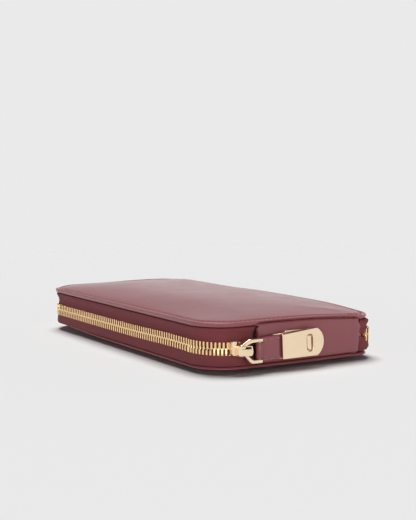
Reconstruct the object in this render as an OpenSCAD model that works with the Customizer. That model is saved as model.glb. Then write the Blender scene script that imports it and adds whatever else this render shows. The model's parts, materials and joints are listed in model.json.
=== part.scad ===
// Long zip-around wallet in smooth leather, lying flat with its zip closed.
// The zip runs along the front, round the left end and along the back.
// The right end is closed by a leather end panel, over which the pull tab is latched.
// +X points to the end panel, -Y to the front, +Z up, and z = 0 is the flat of the underside.

/* [Covers] */
// Length of the covers, from the zipped end to the end panel
wallet_l = 195; // [185:1:205]
// Width of the covers
wallet_w = 105; // [100:1:112]
// Corner radius of the covers
corner_r = 19.5; // [19:0.1:21]
// Thickness of the turned rim of a cover
rim_t = 2; // [1.8:0.1:2.6]
// Inset of the edge of the bottom cover from that of the top cover
bottom_in = 1.2; // [0:0.1:1.4]
// Depth of the padded underside below its rim
belly_h = 2.5; // [1.5:0.1:3]
// Height of the padded top above its rim
crown_h = 2.2; // [0.6:0.1:2.4]
// Thickness of the cover leather over its pad
leather_t = 1.2; // [1:0.05:1.4]
// Thickness of the stiffening board in a cover
board_t = 0.7; // [0.5:0.05:0.8]
// Thickness of the lining of a cover
lining_t = 0.5; // [0.3:0.05:0.6]

/* [Wall and zip] */
// Height of the wall between the two cover seams
wall_h = 19.3; // [19:0.1:21]
// Height of the middle of the zip above the lower seam
zip_up = 8.3; // [7.9:0.1:8.5]
// Inset of the zip tape from the edge of the covers
tape_in = 1.6; // [1.4:0.1:1.8]
// Thickness of the zip tape
tape_t = 0.9; // [0.7:0.1:1]
// Spacing of the teeth along one side of the zip
tooth_pitch = 2.3; // [2.2:0.1:2.8]
// Length of one tooth along the zip
tooth_w = 1; // [0.9:0.05:1.1]
// Thickness of one tooth through the tape
tooth_t = 2.6; // [2.4:0.1:2.7]
// Width of the zip over both rows of teeth
chain_w = 6.8; // [6.4:0.1:7]
// Free gap between the two rows, where the web of the slider runs
row_gap = 1; // [0.8:0.1:1.2]

/* [End panel] */
// Front edge of the end panel, across the wallet
panel_front = -24; // [-25:0.5:-22]
// Back edge of the end panel, where it wraps the rear corner
panel_back = 40; // [38:0.5:42]
// Inset of the outer face of the end panel from the edge of the covers
panel_in = 1.5; // [1.4:0.1:1.6]
// Thickness of the leather of the end panel
panel_t = 1.2; // [1:0.1:1.3]

/* [Slider and pull] */
// Length of the zip slider along the zip
slider_l = 10; // [9:0.5:10.5]
// Width of the zip slider across the zip
slider_w = 9; // [8.8:0.1:9.4]
// Width of the forked yoke over its two arms
yoke_w = 12.6; // [12:0.1:13]
// Width and thickness of one yoke arm
yoke_arm = 2; // [1.8:0.1:2.2]
// Slope of the pull tab, which rises towards the lock plate
tab_tilt = 2.6; // [0:0.2:4]
// Width of the leather pull tab
tab_w = 12.2; // [11.6:0.1:12.4]
// Length of the lock plate
plate_l = 25.6; // [24:0.2:27]
// Width of the lock plate at its bowed end
plate_w = 14.4; // [13.8:0.2:15]
// Depth of the bow of that end
plate_bow = 4.2; // [3.4:0.1:5]
// Length of the slot in the lock plate
slot_l = 8.7; // [8:0.1:9.2]
// Width of the slot in the lock plate
slot_w = 3.9; // [3.7:0.1:4]

/* [Inside] */
// Thickness of the leather of a card pocket
pocket_t = 0.6; // [0.5:0.05:0.6]
// Step between the mouths of two card pockets
pocket_step = 9; // [7:0.5:10]
// Length of the coin pocket
coin_l = 164; // [156:1:166]
// Width of the coin pocket
coin_w = 84; // [82:1:86]
// Thickness of the coin pocket
coin_t = 4.8; // [4.6:0.1:5]
// Length of the zip window in the coin pocket
coin_zip_l = 74; // [70:1:76]

/* [Hidden] */
$fn = 64;
// Gap between solids that move past each other
clear = 0.3;
// Gap between solids of one piece that only meet
meet = 0.05;
// Overshoot of a cutting shape
cut = 1;

// Heights of the seams and of the zip
z_rim = belly_h;
z_seam = z_rim + rim_t;
z_zip = z_seam + zip_up;
z_top_seam = z_seam + wall_h;

// Corner centres of the covers
corner_x = wallet_l / 2 - corner_r;
corner_y = wallet_w / 2 - corner_r;

// Width of the turned rim, and the slope of the padded faces
rim_w = 3;
belly_in = 4;
belly_run = 14;
crown_in = 3;
crown_run = 15.6;
pad_in = 2;
// Gap between the edge of a foam pad and the leather round it
pad_gap = 2.5;

// The zip: middle of the tape, ends of the tape, and where the lid takes over the upper tape
tape_r = corner_r - tape_in - tape_t / 2;
tape_edge = 1.2;
tape_front = panel_front - 2;
tape_back = panel_back + 0.5;
lid_split = wallet_w / 2 - 6.5;
lid_gap = 0.6;
quarter = PI / 2 * tape_r;
chain_l = 3.7 * quarter + 4 * corner_x + 2 * corner_y;
tooth_n = floor(chain_l / tooth_pitch) - 1;
leg_gap = tape_t / 2 + 0.15;

// Layers of the end panel, from its outer face inwards
panel_x = wallet_l / 2 - panel_in;
panel_z = z_top_seam - clear;
stiff_t = 0.8;
stiff_x = panel_x - panel_t - stiff_t;
panel_lining_t = 0.6;
panel_lining_x = stiff_x - panel_lining_t;
backing_t = 0.8;
backing_x = panel_lining_x - backing_t;

// Keeper of the latch, on the end panel
keeper_t = 0.8;
keeper_y = [-7, 12];
keeper_z = [6.6, 19.4];
keeper_rivet_r = 0.9;
keeper_rivet_y = [-4.5, 9.5];
post_x = panel_x + keeper_t;

// Slider, measured outwards from the axis of the front corner
slider_plate = 1.2;
slider_z = z_zip - 0.3;
slider_out = tape_r + tooth_t / 2 + clear + 0.05;
slider_in = 15;
flange_w = 0.75;
lug_r = 1.6;
lug_t = 1;
lug_z = 3.2;
yoke_pin_t = -2.6;
yoke_pin_r = 0.6;
run_gap = 0.05;
pin_fit = 0.02;
yoke_x = corner_x + slider_out + slider_plate + 1.6;
yoke_y = -corner_y + yoke_pin_t;
yoke_z = slider_z - 1;
barrel_r = 1.3;
barrel_h = 4;

// Pull tab, measured from the bar at the end of the yoke
bar_r = 0.8;
bar_y = -corner_y + 8.5;
arm_end = 1.7;
loop_t = 1;
neck_w = yoke_w - 2 * yoke_arm - 0.4;
shoulder = 2.3;
tab_t = 2;
tab_x = panel_x + keeper_t + 0.9;
tab_end = 26;
leaf_t = 0.6;
leaf_from = 10;
plate_from = 13.4;
plate_t = 1.2;
plate_x = tab_x + tab_t;
plate_small_w = 12.2;
slot_u = 30.25;
post_grip = 0.6;
post_gap = 0.65;
lock_rivet_r = 0.6;
lock_rivet_u = [16.5, 23];

// Inside: card pockets, coin pocket and its zip
pocket_l = 168;
pocket_w = 84;
pocket_r = 4;
coin_r = 6;
coin_leaf = 0.8;
coin_z = z_seam + 6.8;
coin_top = coin_z + coin_t;
coin_zip_x = -69;
coin_window = 10;
coin_tape_w = 7.2;
coin_tape_t = 0.5;
coin_row_gap = 0.8;
coin_tooth = [1.6, 1.5, 1];
coin_pitch = 2;
coin_slider = [7.4, 8, 1];
coin_rest_y = -32;
coin_stud_r = 1;
coin_head_r = 1.7;
coin_pull_l = 15;
coin_pull_w = 5;
page_hinge_x = backing_x - 1.1;
page_strip_w = 40;

// Colours
leather = [0.40, 0.16, 0.19];
tape_red = [0.32, 0.12, 0.13];
gold = [0.87, 0.72, 0.46];
pale = [0.72, 0.60, 0.56];
board_grey = [0.55, 0.52, 0.48];

// Rectangle with round corners, centred
module rounded(l, w, r) {
    square([l - 2 * r, w], center = true);
    square([l, w - 2 * r], center = true);
    for (sx = [-1, 1], sy = [-1, 1])
        translate([sx * (l / 2 - r), sy * (w / 2 - r)]) circle(r);
}

// Outline of the covers, set in by some amount
module outline(inset) {
    rounded(wallet_l - 2 * inset, wallet_w - 2 * inset, corner_r - inset);
}

// Flat layer of a cover between two heights
module layer(inset, z0, z1) {
    translate([0, 0, z0]) linear_extrude(z1 - z0) outline(inset);
}

// Padded mound on the outline of the covers: its sides slope in by run over its height
module mound(inset, run, h) {
    l = wallet_l / 2 - inset;
    w = wallet_w / 2 - inset;
    r = corner_r - inset;
    rotate([90, 0, 0]) linear_extrude(2 * corner_y, center = true)
        polygon([[-l, 0], [l, 0], [l - run, h], [run - l, h]]);
    rotate([90, 0, 90]) linear_extrude(2 * corner_x, center = true)
        polygon([[-w, 0], [w, 0], [w - run, h], [run - w, h]]);
    for (sx = [-1, 1], sy = [-1, 1])
        translate([sx * corner_x, sy * corner_y, 0]) cylinder(h = h, r1 = r, r2 = r - run);
}

// Strip that follows the outline of the covers, seen from above
module ring(inset, t) {
    difference() {
        outline(inset);
        outline(inset + t);
    }
}

// Part of the right end between two places across the wallet, seen from above
module right_end(y0, y1) {
    translate([corner_x, y0]) square([corner_r + cut, y1 - y0]);
}

// Extrusion of an outline drawn across and up the end face, outwards along +X
module outwards(t) {
    rotate([90, 0, 90]) linear_extrude(t) children();
}

// Oblong with round ends, standing up
module oblong(l, w) {
    square([w, l - w], center = true);
    for (s = [-1, 1]) translate([0, s * (l - w) / 2]) circle(w / 2);
}

// Places things measured along the pull tab from its bar, with the slope of the tab
module along_tab() {
    translate([0, bar_y, yoke_z]) rotate([tab_tilt, 0, 0]) children();
}

// Runs of the zip from the slider round to its end:
// length, corner centre, heading of its outer face, and whether it is round
RUNS = [
    [quarter, corner_x, -corner_y, 0, true],
    [2 * corner_x, corner_x, -corner_y, -90, false],
    [quarter, -corner_x, -corner_y, -90, true],
    [2 * corner_y, -corner_x, -corner_y, -180, false],
    [quarter, -corner_x, corner_y, -180, true],
    [2 * corner_x, -corner_x, corner_y, -270, false],
    [quarter, corner_x, corner_y, -270, true],
];

// Place on one run: x, y and the heading of the outer face
function on_run(run, s) =
    let (turned = run[4] ? run[3] - 90 * s / quarter : run[3])
    let (ahead = run[4] ? 0 : s)
    [run[1] + tape_r * cos(turned) + ahead * cos(turned - 90),
     run[2] + tape_r * sin(turned) + ahead * sin(turned - 90), turned];

// Place at a distance along the whole zip
function station(s, i = 0) =
    s <= RUNS[i][0] || i == len(RUNS) - 1 ? on_run(RUNS[i], s) : station(s - RUNS[i][0], i + 1);

// One tooth of the lower row: a head over the edge of the tape, and two legs that clamp it
module tooth() {
    top = z_zip - row_gap / 2;
    edge = z_zip - tape_edge + meet;
    foot = z_zip - chain_w / 2;
    half = tooth_t / 2;
    rotate([90, 0, 0]) linear_extrude(tooth_w, center = true)
        polygon([[-half, foot], [-leg_gap, foot], [-leg_gap, edge], [leg_gap, edge],
                 [leg_gap, foot], [half, foot], [half, top], [-half, top]]);
}

// Teeth of one row; ends picks those that stay with the end panel
module teeth(upper, ends) {
    for (k = [0 : tooth_n - 1]) {
        p = station((k + (upper ? 1 : 0.5)) * tooth_pitch);
        near_end = p[0] > corner_x && abs(p[1]) < lid_split;
        if (!upper) translate([p[0], p[1], 0]) rotate(p[2]) tooth();
        if (upper && near_end == ends)
            translate([p[0], p[1], 2 * z_zip]) rotate(p[2]) mirror([0, 0, 1]) tooth();
    }
}

// Holes for the two rivets of the keeper
module keeper_holes() {
    for (y = keeper_rivet_y) translate([backing_x - cut, y, yoke_z + 1])
        rotate([0, 90, 0]) cylinder(h = post_x - backing_x + 2 * cut, r = keeper_rivet_r + meet);
}

// Cover of turned leather with its padded face up, drawn from its rim at z = 0; its edge may be set in
module cover(edge_in, inset, run, h) {
    recess = board_t + lining_t;
    difference() {
        union() {
            layer(edge_in, 0, rim_t);
            translate([0, 0, rim_t]) mound(inset, run, h);
        }
        layer(rim_w, -cut, recess);
        translate([0, 0, recess - meet])
            mound(inset + pad_in, run - pad_in, h + rim_t - recess - leather_t + meet);
    }
}

// Foam pad of a cover, drawn from the rim of the cover at z = 0
module pad(inset, run, h) {
    recess = board_t + lining_t;
    edge = pad_in + pad_gap;
    translate([0, 0, recess]) mound(inset + edge, run - edge, h + rim_t - recess - leather_t - meet);
}

// Turns a cover drawn face up over, with its rim at the lower seam
module underside() {
    translate([0, 0, z_seam]) mirror([0, 0, 1]) children();
}

module bottom_cover() {
    color(leather) underside() cover(bottom_in, belly_in, belly_run, belly_h);
}

module bottom_pad() {
    color(board_grey) underside() pad(belly_in, belly_run, belly_h);
}

module bottom_board() {
    color(board_grey) layer(rim_w + 2 * meet, z_seam - lining_t - board_t, z_seam - lining_t);
}

module bottom_lining() {
    color(pale) layer(rim_w + 2 * meet, z_seam - lining_t, z_seam);
}

module top_cover() {
    color(leather) translate([0, 0, z_top_seam]) cover(0, crown_in, crown_run, crown_h);
}

module top_pad() {
    color(board_grey) translate([0, 0, z_top_seam]) pad(crown_in, crown_run, crown_h);
}

module top_board() {
    color(board_grey) layer(rim_w + 2 * meet, z_top_seam + lining_t, z_top_seam + lining_t + board_t);
}

module top_lining() {
    color(pale) layer(rim_w + 2 * meet, z_top_seam, z_top_seam + lining_t);
}

module zip_tape_lower() {
    color(tape_red) translate([0, 0, z_seam]) linear_extrude(zip_up - tape_edge) difference() {
        ring(tape_in, tape_t);
        right_end(tape_front, tape_back);
    }
}

module zip_tape_upper() {
    base = z_zip + tape_edge;
    color(tape_red) translate([0, 0, base]) linear_extrude(z_top_seam - base) difference() {
        ring(tape_in, tape_t);
        right_end(-lid_split, lid_split);
    }
}

// Short lengths of the upper tape that are sewn to the end panel
module zip_tape_upper_ends() {
    base = z_zip + tape_edge;
    color(tape_red) translate([0, 0, base]) linear_extrude(panel_z - base) intersection() {
        ring(tape_in, tape_t);
        union() {
            right_end(lid_gap - lid_split, tape_front);
            right_end(tape_back, lid_split - lid_gap);
        }
    }
}

module zip_teeth_lower() {
    color(gold) teeth(false, false);
}

module zip_teeth_upper() {
    color(gold) teeth(true, false);
}

module zip_teeth_upper_ends() {
    color(gold) teeth(true, true);
}

// Metal stop across both rows at the far end of the zip
module zip_end_stop() {
    stop_w = 1.6;
    p = station((tooth_n + 1) * tooth_pitch);
    color(gold) translate([p[0], p[1], z_zip]) rotate(p[2])
        cube([tooth_t, stop_w, 2 * tape_edge - 4 * meet], center = true);
}

module end_panel() {
    color(leather) difference() {
        translate([0, 0, z_seam]) linear_extrude(panel_z - z_seam) intersection() {
            ring(panel_in, panel_t);
            right_end(panel_front, panel_back);
        }
        keeper_holes();
    }
}

// Flat layer behind the straight part of the end panel
module panel_layer(x, t, margin) {
    difference() {
        translate([x, panel_front + margin, z_seam + margin])
            cube([t, corner_y - panel_front - 2 * margin, panel_z - z_seam - 2 * margin]);
        keeper_holes();
    }
}

module end_panel_stiffener() {
    color(board_grey) panel_layer(stiff_x, stiff_t, 1.5);
}

module end_panel_lining() {
    color(pale) panel_layer(panel_lining_x, panel_lining_t, 0.8);
}

module keeper_plate() {
    color(gold) difference() {
        translate([panel_x, keeper_y[0], keeper_z[0]])
            cube([keeper_t, keeper_y[1] - keeper_y[0], keeper_z[1] - keeper_z[0]]);
        keeper_holes();
    }
}

// Oblong post that stands into the slot of the lock plate
module keeper_post() {
    color(gold) along_tab() translate([post_x, slot_u, 0]) outwards(plate_x + post_grip - post_x)
        oblong(slot_l - 2 * post_gap, slot_w - 2 * post_gap);
}

module keeper_rivets() {
    color(gold) for (y = keeper_rivet_y) translate([backing_x - clear, y, yoke_z + 1])
        rotate([0, 90, 0]) cylinder(h = post_x - backing_x + clear, r = keeper_rivet_r);
}

module keeper_backing() {
    margin = 1;
    color("silver") difference() {
        translate([backing_x, keeper_y[0] + margin, keeper_z[0] + margin])
            cube([backing_t,
                  keeper_y[1] - keeper_y[0] - 2 * margin,
                  keeper_z[1] - keeper_z[0] - 2 * margin]);
        keeper_holes();
    }
}

// Face of the slider, seen from outside: wide at the front, where the rows of teeth enter
module slider_face() {
    nose = 0.8;
    rear = slider_l / 2 + 0.2;
    front = slider_l / 2 - 0.2;
    half = slider_w / 2;
    polygon([[-rear, -half + 0.3], [front - nose, -half], [front, -half + 2 * nose],
             [front, half - 2 * nose], [front - nose, half], [-rear, half - 0.3]]);
}

// Places slider shapes: across from the corner axis, along the zip, and up from its middle
module at_slider(out) {
    translate([corner_x + out, -corner_y, slider_z]) children();
}

// Slider: outer and inner plates with turned flanges, the web between them, and two lugs for the yoke pin
module zip_slider() {
    web_t = 0.5;
    flange_out = tape_r + tape_t / 2 + 0.4;
    flange_in = 16;
    lug_out = slider_out + slider_plate;
    pin_out = yoke_x - corner_x;
    color(gold) difference() {
        union() {
            at_slider(slider_out) outwards(slider_plate) slider_face();
            at_slider(slider_in - slider_plate) outwards(slider_plate) slider_face();
            at_slider(slider_in) translate([0, -slider_l / 2 + 1, z_zip - slider_z - web_t / 2])
                cube([slider_out - slider_in, slider_l - 2, web_t]);
            for (s = [-1, 1]) {
                flange_z = s * (slider_w - flange_w) / 2 - flange_w / 2;
                lug_mid = s * (lug_z + lug_t / 2);
                at_slider(flange_out) translate([0, -slider_l / 2 + 0.5, flange_z])
                    cube([slider_out - flange_out, slider_l - 1.5, flange_w]);
                at_slider(slider_in) translate([0, -slider_l / 2 + 0.5, flange_z])
                    cube([flange_in - slider_in, slider_l - 1.5, flange_w]);
                at_slider(pin_out) translate([0, yoke_pin_t, lug_mid])
                    cylinder(h = lug_t, r = lug_r, center = true);
                at_slider(lug_out) translate([0, yoke_pin_t - lug_r, lug_mid - lug_t / 2])
                    cube([pin_out - lug_out, 2 * lug_r, lug_t]);
            }
        }
        translate([yoke_x, yoke_y, slider_z])
            cylinder(h = slider_w + cut, r = yoke_pin_r + pin_fit, center = true);
    }
}

module yoke_pin() {
    color(gold) translate([yoke_x, yoke_y, slider_z])
        cylinder(h = 2 * (lug_z + lug_t), r = yoke_pin_r, center = true);
}

// Outline of the yoke from its pin: a short stem that forks into two arms
module yoke_fork() {
    stem = barrel_h / 2;
    fork = 2;
    bend = 6.4;
    half = yoke_w / 2;
    inner = half - yoke_arm;
    tip = bar_y - yoke_y + arm_end;
    polygon([[0, -stem], [fork, -stem], [bend, -half], [tip, -half], [tip, -inner], [bend + 0.8, -inner],
             [fork + 1.8, -1], [fork + 1.8, 1], [bend + 0.8, inner], [tip, inner], [tip, half],
             [bend, half], [fork, stem], [0, stem]]);
}

module pull_yoke() {
    color(gold) difference() {
        translate([yoke_x, yoke_y, yoke_z]) union() {
            cylinder(h = barrel_h, r = barrel_r, center = true);
            translate([-yoke_arm / 2, 0, 0]) outwards(yoke_arm) yoke_fork();
        }
        translate([yoke_x, yoke_y, yoke_z]) cylinder(h = yoke_w, r = yoke_pin_r + run_gap, center = true);
        translate([yoke_x, bar_y, yoke_z]) cylinder(h = yoke_w - 1, r = bar_r + pin_fit, center = true);
    }
}

module yoke_bar() {
    color(gold) translate([yoke_x, bar_y, yoke_z]) cylinder(h = yoke_w - 1.1, r = bar_r, center = true);
}

// Leather tab: a loop round the yoke bar, a neck between the arms and a strap to the lock plate
module pull_tab() {
    color(leather) difference() {
        union() {
            translate([yoke_x, bar_y, yoke_z])
                cylinder(h = neck_w, r = bar_r + run_gap + loop_t, center = true);
            along_tab() translate([tab_x, 0, 0]) outwards(tab_t) {
                translate([0, -neck_w / 2 + 0.2]) square([shoulder + cut, neck_w - 0.4]);
                translate([shoulder, -tab_w / 2]) square([tab_end - shoulder, tab_w]);
            }
        }
        translate([yoke_x, bar_y, yoke_z]) cylinder(h = yoke_w, r = bar_r + run_gap, center = true);
        lock_rivet_holes(meet);
    }
}

// The two rivets that hold the lock plate on the tab, with some room round them
module lock_rivet_holes(room) {
    for (u = lock_rivet_u) along_tab() translate([tab_x - leaf_t, u, 0])
        rotate([0, 90, 0]) cylinder(h = leaf_t + tab_t + plate_t / 2, r = lock_rivet_r + room);
}

// Outline of the lock plate along the tab: it widens towards its bowed end, and has a slot for the post
module plate_face() {
    end = plate_from + plate_l;
    bow_u = end - plate_bow;
    bow_half = plate_w / 2;
    bow_r = (bow_half * bow_half + plate_bow * plate_bow) / (2 * plate_bow);
    half = plate_small_w / 2;
    difference() {
        union() {
            polygon([[plate_from, -half], [bow_u, -bow_half], [bow_u, bow_half], [plate_from, half]]);
            intersection() {
                translate([end - bow_r, 0]) circle(bow_r);
                translate([bow_u, -bow_half]) square([plate_bow + cut, plate_w]);
            }
        }
        translate([slot_u, 0]) oblong(slot_l, slot_w);
    }
}

module lock_plate() {
    color(gold) difference() {
        along_tab() translate([plate_x, 0, 0]) outwards(plate_t) plate_face();
        lock_rivet_holes(meet);
    }
}

module lock_plate_back() {
    lip = 0.3;
    color(gold) difference() {
        along_tab() translate([tab_x - leaf_t, leaf_from, -tab_w / 2 - lip])
            cube([leaf_t, tab_end - leaf_from, tab_w + 2 * lip]);
        lock_rivet_holes(meet);
    }
}

module lock_rivets() {
    color(gold) lock_rivet_holes(0);
}

// Card pocket of the lower or upper cover; each mouth is a step further back
module card_pocket(upper, k) {
    w = pocket_w - k * pocket_step;
    z = upper ? z_top_seam - (k + 1) * pocket_t : z_seam + k * pocket_t;
    color(leather) translate([0, k * pocket_step / 2, z]) linear_extrude(pocket_t)
        rounded(pocket_l, w, pocket_r);
}

module coin_pocket_back() {
    color(leather) translate([0, 0, coin_z]) linear_extrude(coin_leaf) rounded(coin_l, coin_w, coin_r);
}

module coin_pocket_front() {
    color(leather) translate([0, 0, coin_top - coin_leaf]) linear_extrude(coin_leaf) difference() {
        rounded(coin_l, coin_w, coin_r);
        translate([coin_zip_x, 0]) oblong(coin_zip_l, coin_window);
    }
}

module coin_gusset() {
    wall = 1;
    color(leather) translate([0, 0, coin_z + coin_leaf]) linear_extrude(coin_t - 2 * coin_leaf)
    difference() {
        rounded(coin_l, coin_w, coin_r);
        rounded(coin_l - 2 * wall, coin_w - 2 * wall, coin_r - wall);
    }
}

// Strip that joins the coin pocket to the end panel
module coin_hinge_strip() {
    color(leather) translate([coin_l / 2, -page_strip_w / 2, coin_z + (coin_t - coin_leaf) / 2])
        cube([page_hinge_x - coin_l / 2 - 0.2, page_strip_w, coin_leaf]);
}

module coin_zip_tapes() {
    z = coin_top - coin_leaf - coin_tape_t;
    color(tape_red) for (s = [-1, 1])
        translate([coin_zip_x + s * (coin_row_gap + coin_tape_w) / 2, 0, z + coin_tape_t / 2])
            cube([coin_tape_w, coin_w - 4, coin_tape_t], center = true);
}

// Tooth of the coin zip: a clip open towards the tape, drawn for the row on the +X side
module coin_tooth() {
    z = coin_top - coin_leaf - coin_tape_t / 2;
    slot = coin_tape_t / 2 + meet;
    l = coin_tooth[0];
    h = coin_tooth[1] / 2;
    x = coin_row_gap / 2 - 0.2;
    rotate([90, 0, 0]) linear_extrude(coin_tooth[2], center = true)
        polygon([[x, z - h], [x + l, z - h], [x + l, z - slot], [x + 0.15, z - slot],
                 [x + 0.15, z + slot], [x + l, z + slot], [x + l, z + h], [x, z + h]]);
}

module coin_zip_teeth() {
    count = floor((coin_zip_l - 4) / coin_pitch);
    color(gold) for (k = [0 : count - 1], s = [0, 1])
        translate([coin_zip_x, (k + s / 2 - count / 2 + 0.25) * coin_pitch, 0])
            mirror([s, 0, 0]) coin_tooth();
}

module coin_zip_stops() {
    stop_l = 1.6;
    z = coin_top - coin_leaf - coin_tape_t / 2;
    color(gold) for (s = [-1, 1]) translate([coin_zip_x, s * (coin_zip_l / 2 + 1), z])
        cube([coin_row_gap, stop_l, coin_tape_t], center = true);
}

// Slider of the coin zip: two plates, a thin web between the rows, and a headed stud for the pull
module coin_zip_slider() {
    mid = coin_top - coin_leaf - coin_tape_t / 2;
    off = coin_tooth[1] / 2 + clear;
    web_t = 0.2;
    w = coin_slider[0];
    l = coin_slider[1];
    t = coin_slider[2];
    stud_h = 1.6;
    color(gold) translate([coin_zip_x, coin_rest_y, mid]) {
        for (z = [off, -off - t]) translate([-w / 2, -l / 2, z]) cube([w, l, t]);
        translate([-web_t / 2, -l / 2 + 1, -off]) cube([web_t, l - 2, 2 * off]);
        translate([0, 0, off + t]) cylinder(h = stud_h, r = coin_stud_r);
        translate([0, 0, off + t + stud_h]) cylinder(h = 0.6, r = coin_head_r);
    }
}

// Pull of the coin zip: a flat leather strip that swivels on the stud
module coin_zip_pull() {
    z = coin_top - coin_leaf - coin_tape_t / 2 + coin_tooth[1] / 2 + clear + coin_slider[2] + clear;
    color(leather) translate([coin_zip_x, coin_rest_y, z]) linear_extrude(1) difference() {
        union() {
            circle(coin_pull_w / 2);
            translate([0, -coin_pull_w / 2]) square([coin_pull_l, coin_pull_w]);
        }
        circle(coin_stud_r + run_gap);
    }
}

bottom_cover();
bottom_pad();
bottom_board();
bottom_lining();
top_cover();
top_pad();
top_board();
top_lining();
zip_tape_lower();
zip_tape_upper();
zip_tape_upper_ends();
zip_teeth_lower();
zip_teeth_upper();
zip_teeth_upper_ends();
zip_end_stop();
end_panel();
end_panel_stiffener();
end_panel_lining();
keeper_plate();
keeper_post();
keeper_rivets();
keeper_backing();
zip_slider();
yoke_pin();
pull_yoke();
yoke_bar();
pull_tab();
lock_plate();
lock_plate_back();
lock_rivets();
card_pocket(false, 0);  // card_pocket_lower_1
card_pocket(false, 1);  // card_pocket_lower_2
card_pocket(false, 2);  // card_pocket_lower_3
card_pocket(false, 3);  // card_pocket_lower_4
card_pocket(true, 0);  // card_pocket_upper_1
card_pocket(true, 1);  // card_pocket_upper_2
card_pocket(true, 2);  // card_pocket_upper_3
card_pocket(true, 3);  // card_pocket_upper_4
coin_pocket_back();
coin_pocket_front();
coin_gusset();
coin_hinge_strip();
coin_zip_tapes();
coin_zip_teeth();
coin_zip_stops();
coin_zip_slider();
coin_zip_pull();
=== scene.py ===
"""Long zip-around wallet in smooth leather: its covers, zip, end panel, latched pull tab and pockets."""
import json
import logging
import math
from collections.abc import Sequence
from dataclasses import dataclass
from enum import Enum

import bmesh
import bpy
from mathutils import Matrix, Vector

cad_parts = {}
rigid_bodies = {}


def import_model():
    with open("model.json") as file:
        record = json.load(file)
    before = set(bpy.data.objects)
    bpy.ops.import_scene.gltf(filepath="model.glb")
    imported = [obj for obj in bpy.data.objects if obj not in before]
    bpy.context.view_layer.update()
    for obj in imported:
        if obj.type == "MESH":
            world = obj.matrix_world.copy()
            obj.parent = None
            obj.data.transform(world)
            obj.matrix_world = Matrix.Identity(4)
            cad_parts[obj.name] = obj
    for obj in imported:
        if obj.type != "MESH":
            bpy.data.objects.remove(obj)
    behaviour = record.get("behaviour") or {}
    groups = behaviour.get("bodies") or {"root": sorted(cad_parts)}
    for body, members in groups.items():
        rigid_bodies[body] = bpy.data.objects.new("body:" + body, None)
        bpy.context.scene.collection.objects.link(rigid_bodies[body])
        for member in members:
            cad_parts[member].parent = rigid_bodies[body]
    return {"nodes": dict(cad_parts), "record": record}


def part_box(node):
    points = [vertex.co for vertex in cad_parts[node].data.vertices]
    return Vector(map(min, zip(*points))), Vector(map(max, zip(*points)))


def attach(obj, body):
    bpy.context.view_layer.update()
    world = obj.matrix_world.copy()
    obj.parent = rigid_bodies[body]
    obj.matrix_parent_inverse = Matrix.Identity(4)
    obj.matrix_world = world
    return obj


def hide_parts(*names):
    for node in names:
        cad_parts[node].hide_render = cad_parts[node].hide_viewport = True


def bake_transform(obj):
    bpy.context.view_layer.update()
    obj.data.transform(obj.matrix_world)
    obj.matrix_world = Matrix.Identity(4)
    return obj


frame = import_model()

LOG = logging.getLogger("wallet")
MM = 0.001
ABOVE = 0.02 * MM

Colour = tuple[float, float, float]
Flat = tuple[float, float]
Spot = tuple[float, float, float]


class Body(Enum):
    """Moving bodies of the wallet."""

    BASE = "base"
    LID = "lid"
    SLIDER = "slider"
    YOKE = "yoke"
    TAB = "tab"
    COIN_PAGE = "coin_page"
    COIN_SLIDER = "coin_slider"
    COIN_PULL = "coin_pull"


class Slot(Enum):
    """Material slots of the wallet."""

    COVER = "cover_leather"
    INNER = "inner_leather"
    TAPE = "zip_tape"
    TEETH = "zip_teeth"
    GOLD = "gold_metal"
    STEEL = "steel"
    LINING = "lining_fabric"
    FILLER = "filler"


class Half(Enum):
    """The two halves of the wallet, with the way from the seam to the outside."""

    LOWER = -1
    UPPER = 1


def srgb(red: int, green: int, blue: int) -> Colour:
    """Turns a display colour of 0 to 255 into a linear one."""
    shares = [channel / 255 for channel in (red, green, blue)]
    return tuple(s / 12.92 if s <= 0.04045 else ((s + 0.055) / 1.055) ** 2.4 for s in shares)


def shade(colour: Colour, factor: float) -> Colour:
    """A lighter or darker version of a colour."""
    return tuple(channel * factor for channel in colour)


def clamp(value: float, most: float = 1.0) -> float:
    """Keeps a value between 0 and a limit."""
    return min(max(value, 0.0), most)


def ease(value: float) -> float:
    """Smooth step from 0 to 1."""
    share = clamp(value)
    return share * share * (3 - 2 * share)


class Value:
    """A number in a material: operators on it add Math nodes."""

    def __init__(self, shader: "Shader", socket: bpy.types.NodeSocket) -> None:
        """Wraps an output socket of a shader."""
        self.shader = shader
        self.socket = socket

    def math(self, operation: str, *others: "Value | float") -> "Value":
        """Adds a Math node with this value first."""
        return self.shader.node("ShaderNodeMath", {"operation": operation}, dict(enumerate((self, *others))))

    def output(self, name: str) -> "Value":
        """Another output of the same node."""
        return Value(self.shader, self.shader.socket(self.socket.node.outputs, name))

    def __add__(self, other: "Value | float") -> "Value":
        """Sum."""
        return self.math("ADD", other)

    def __sub__(self, other: "Value | float") -> "Value":
        """Difference."""
        return self.math("SUBTRACT", other)

    def __mul__(self, other: "Value | float") -> "Value":
        """Product."""
        return self.math("MULTIPLY", other)

    __radd__ = __add__


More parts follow.
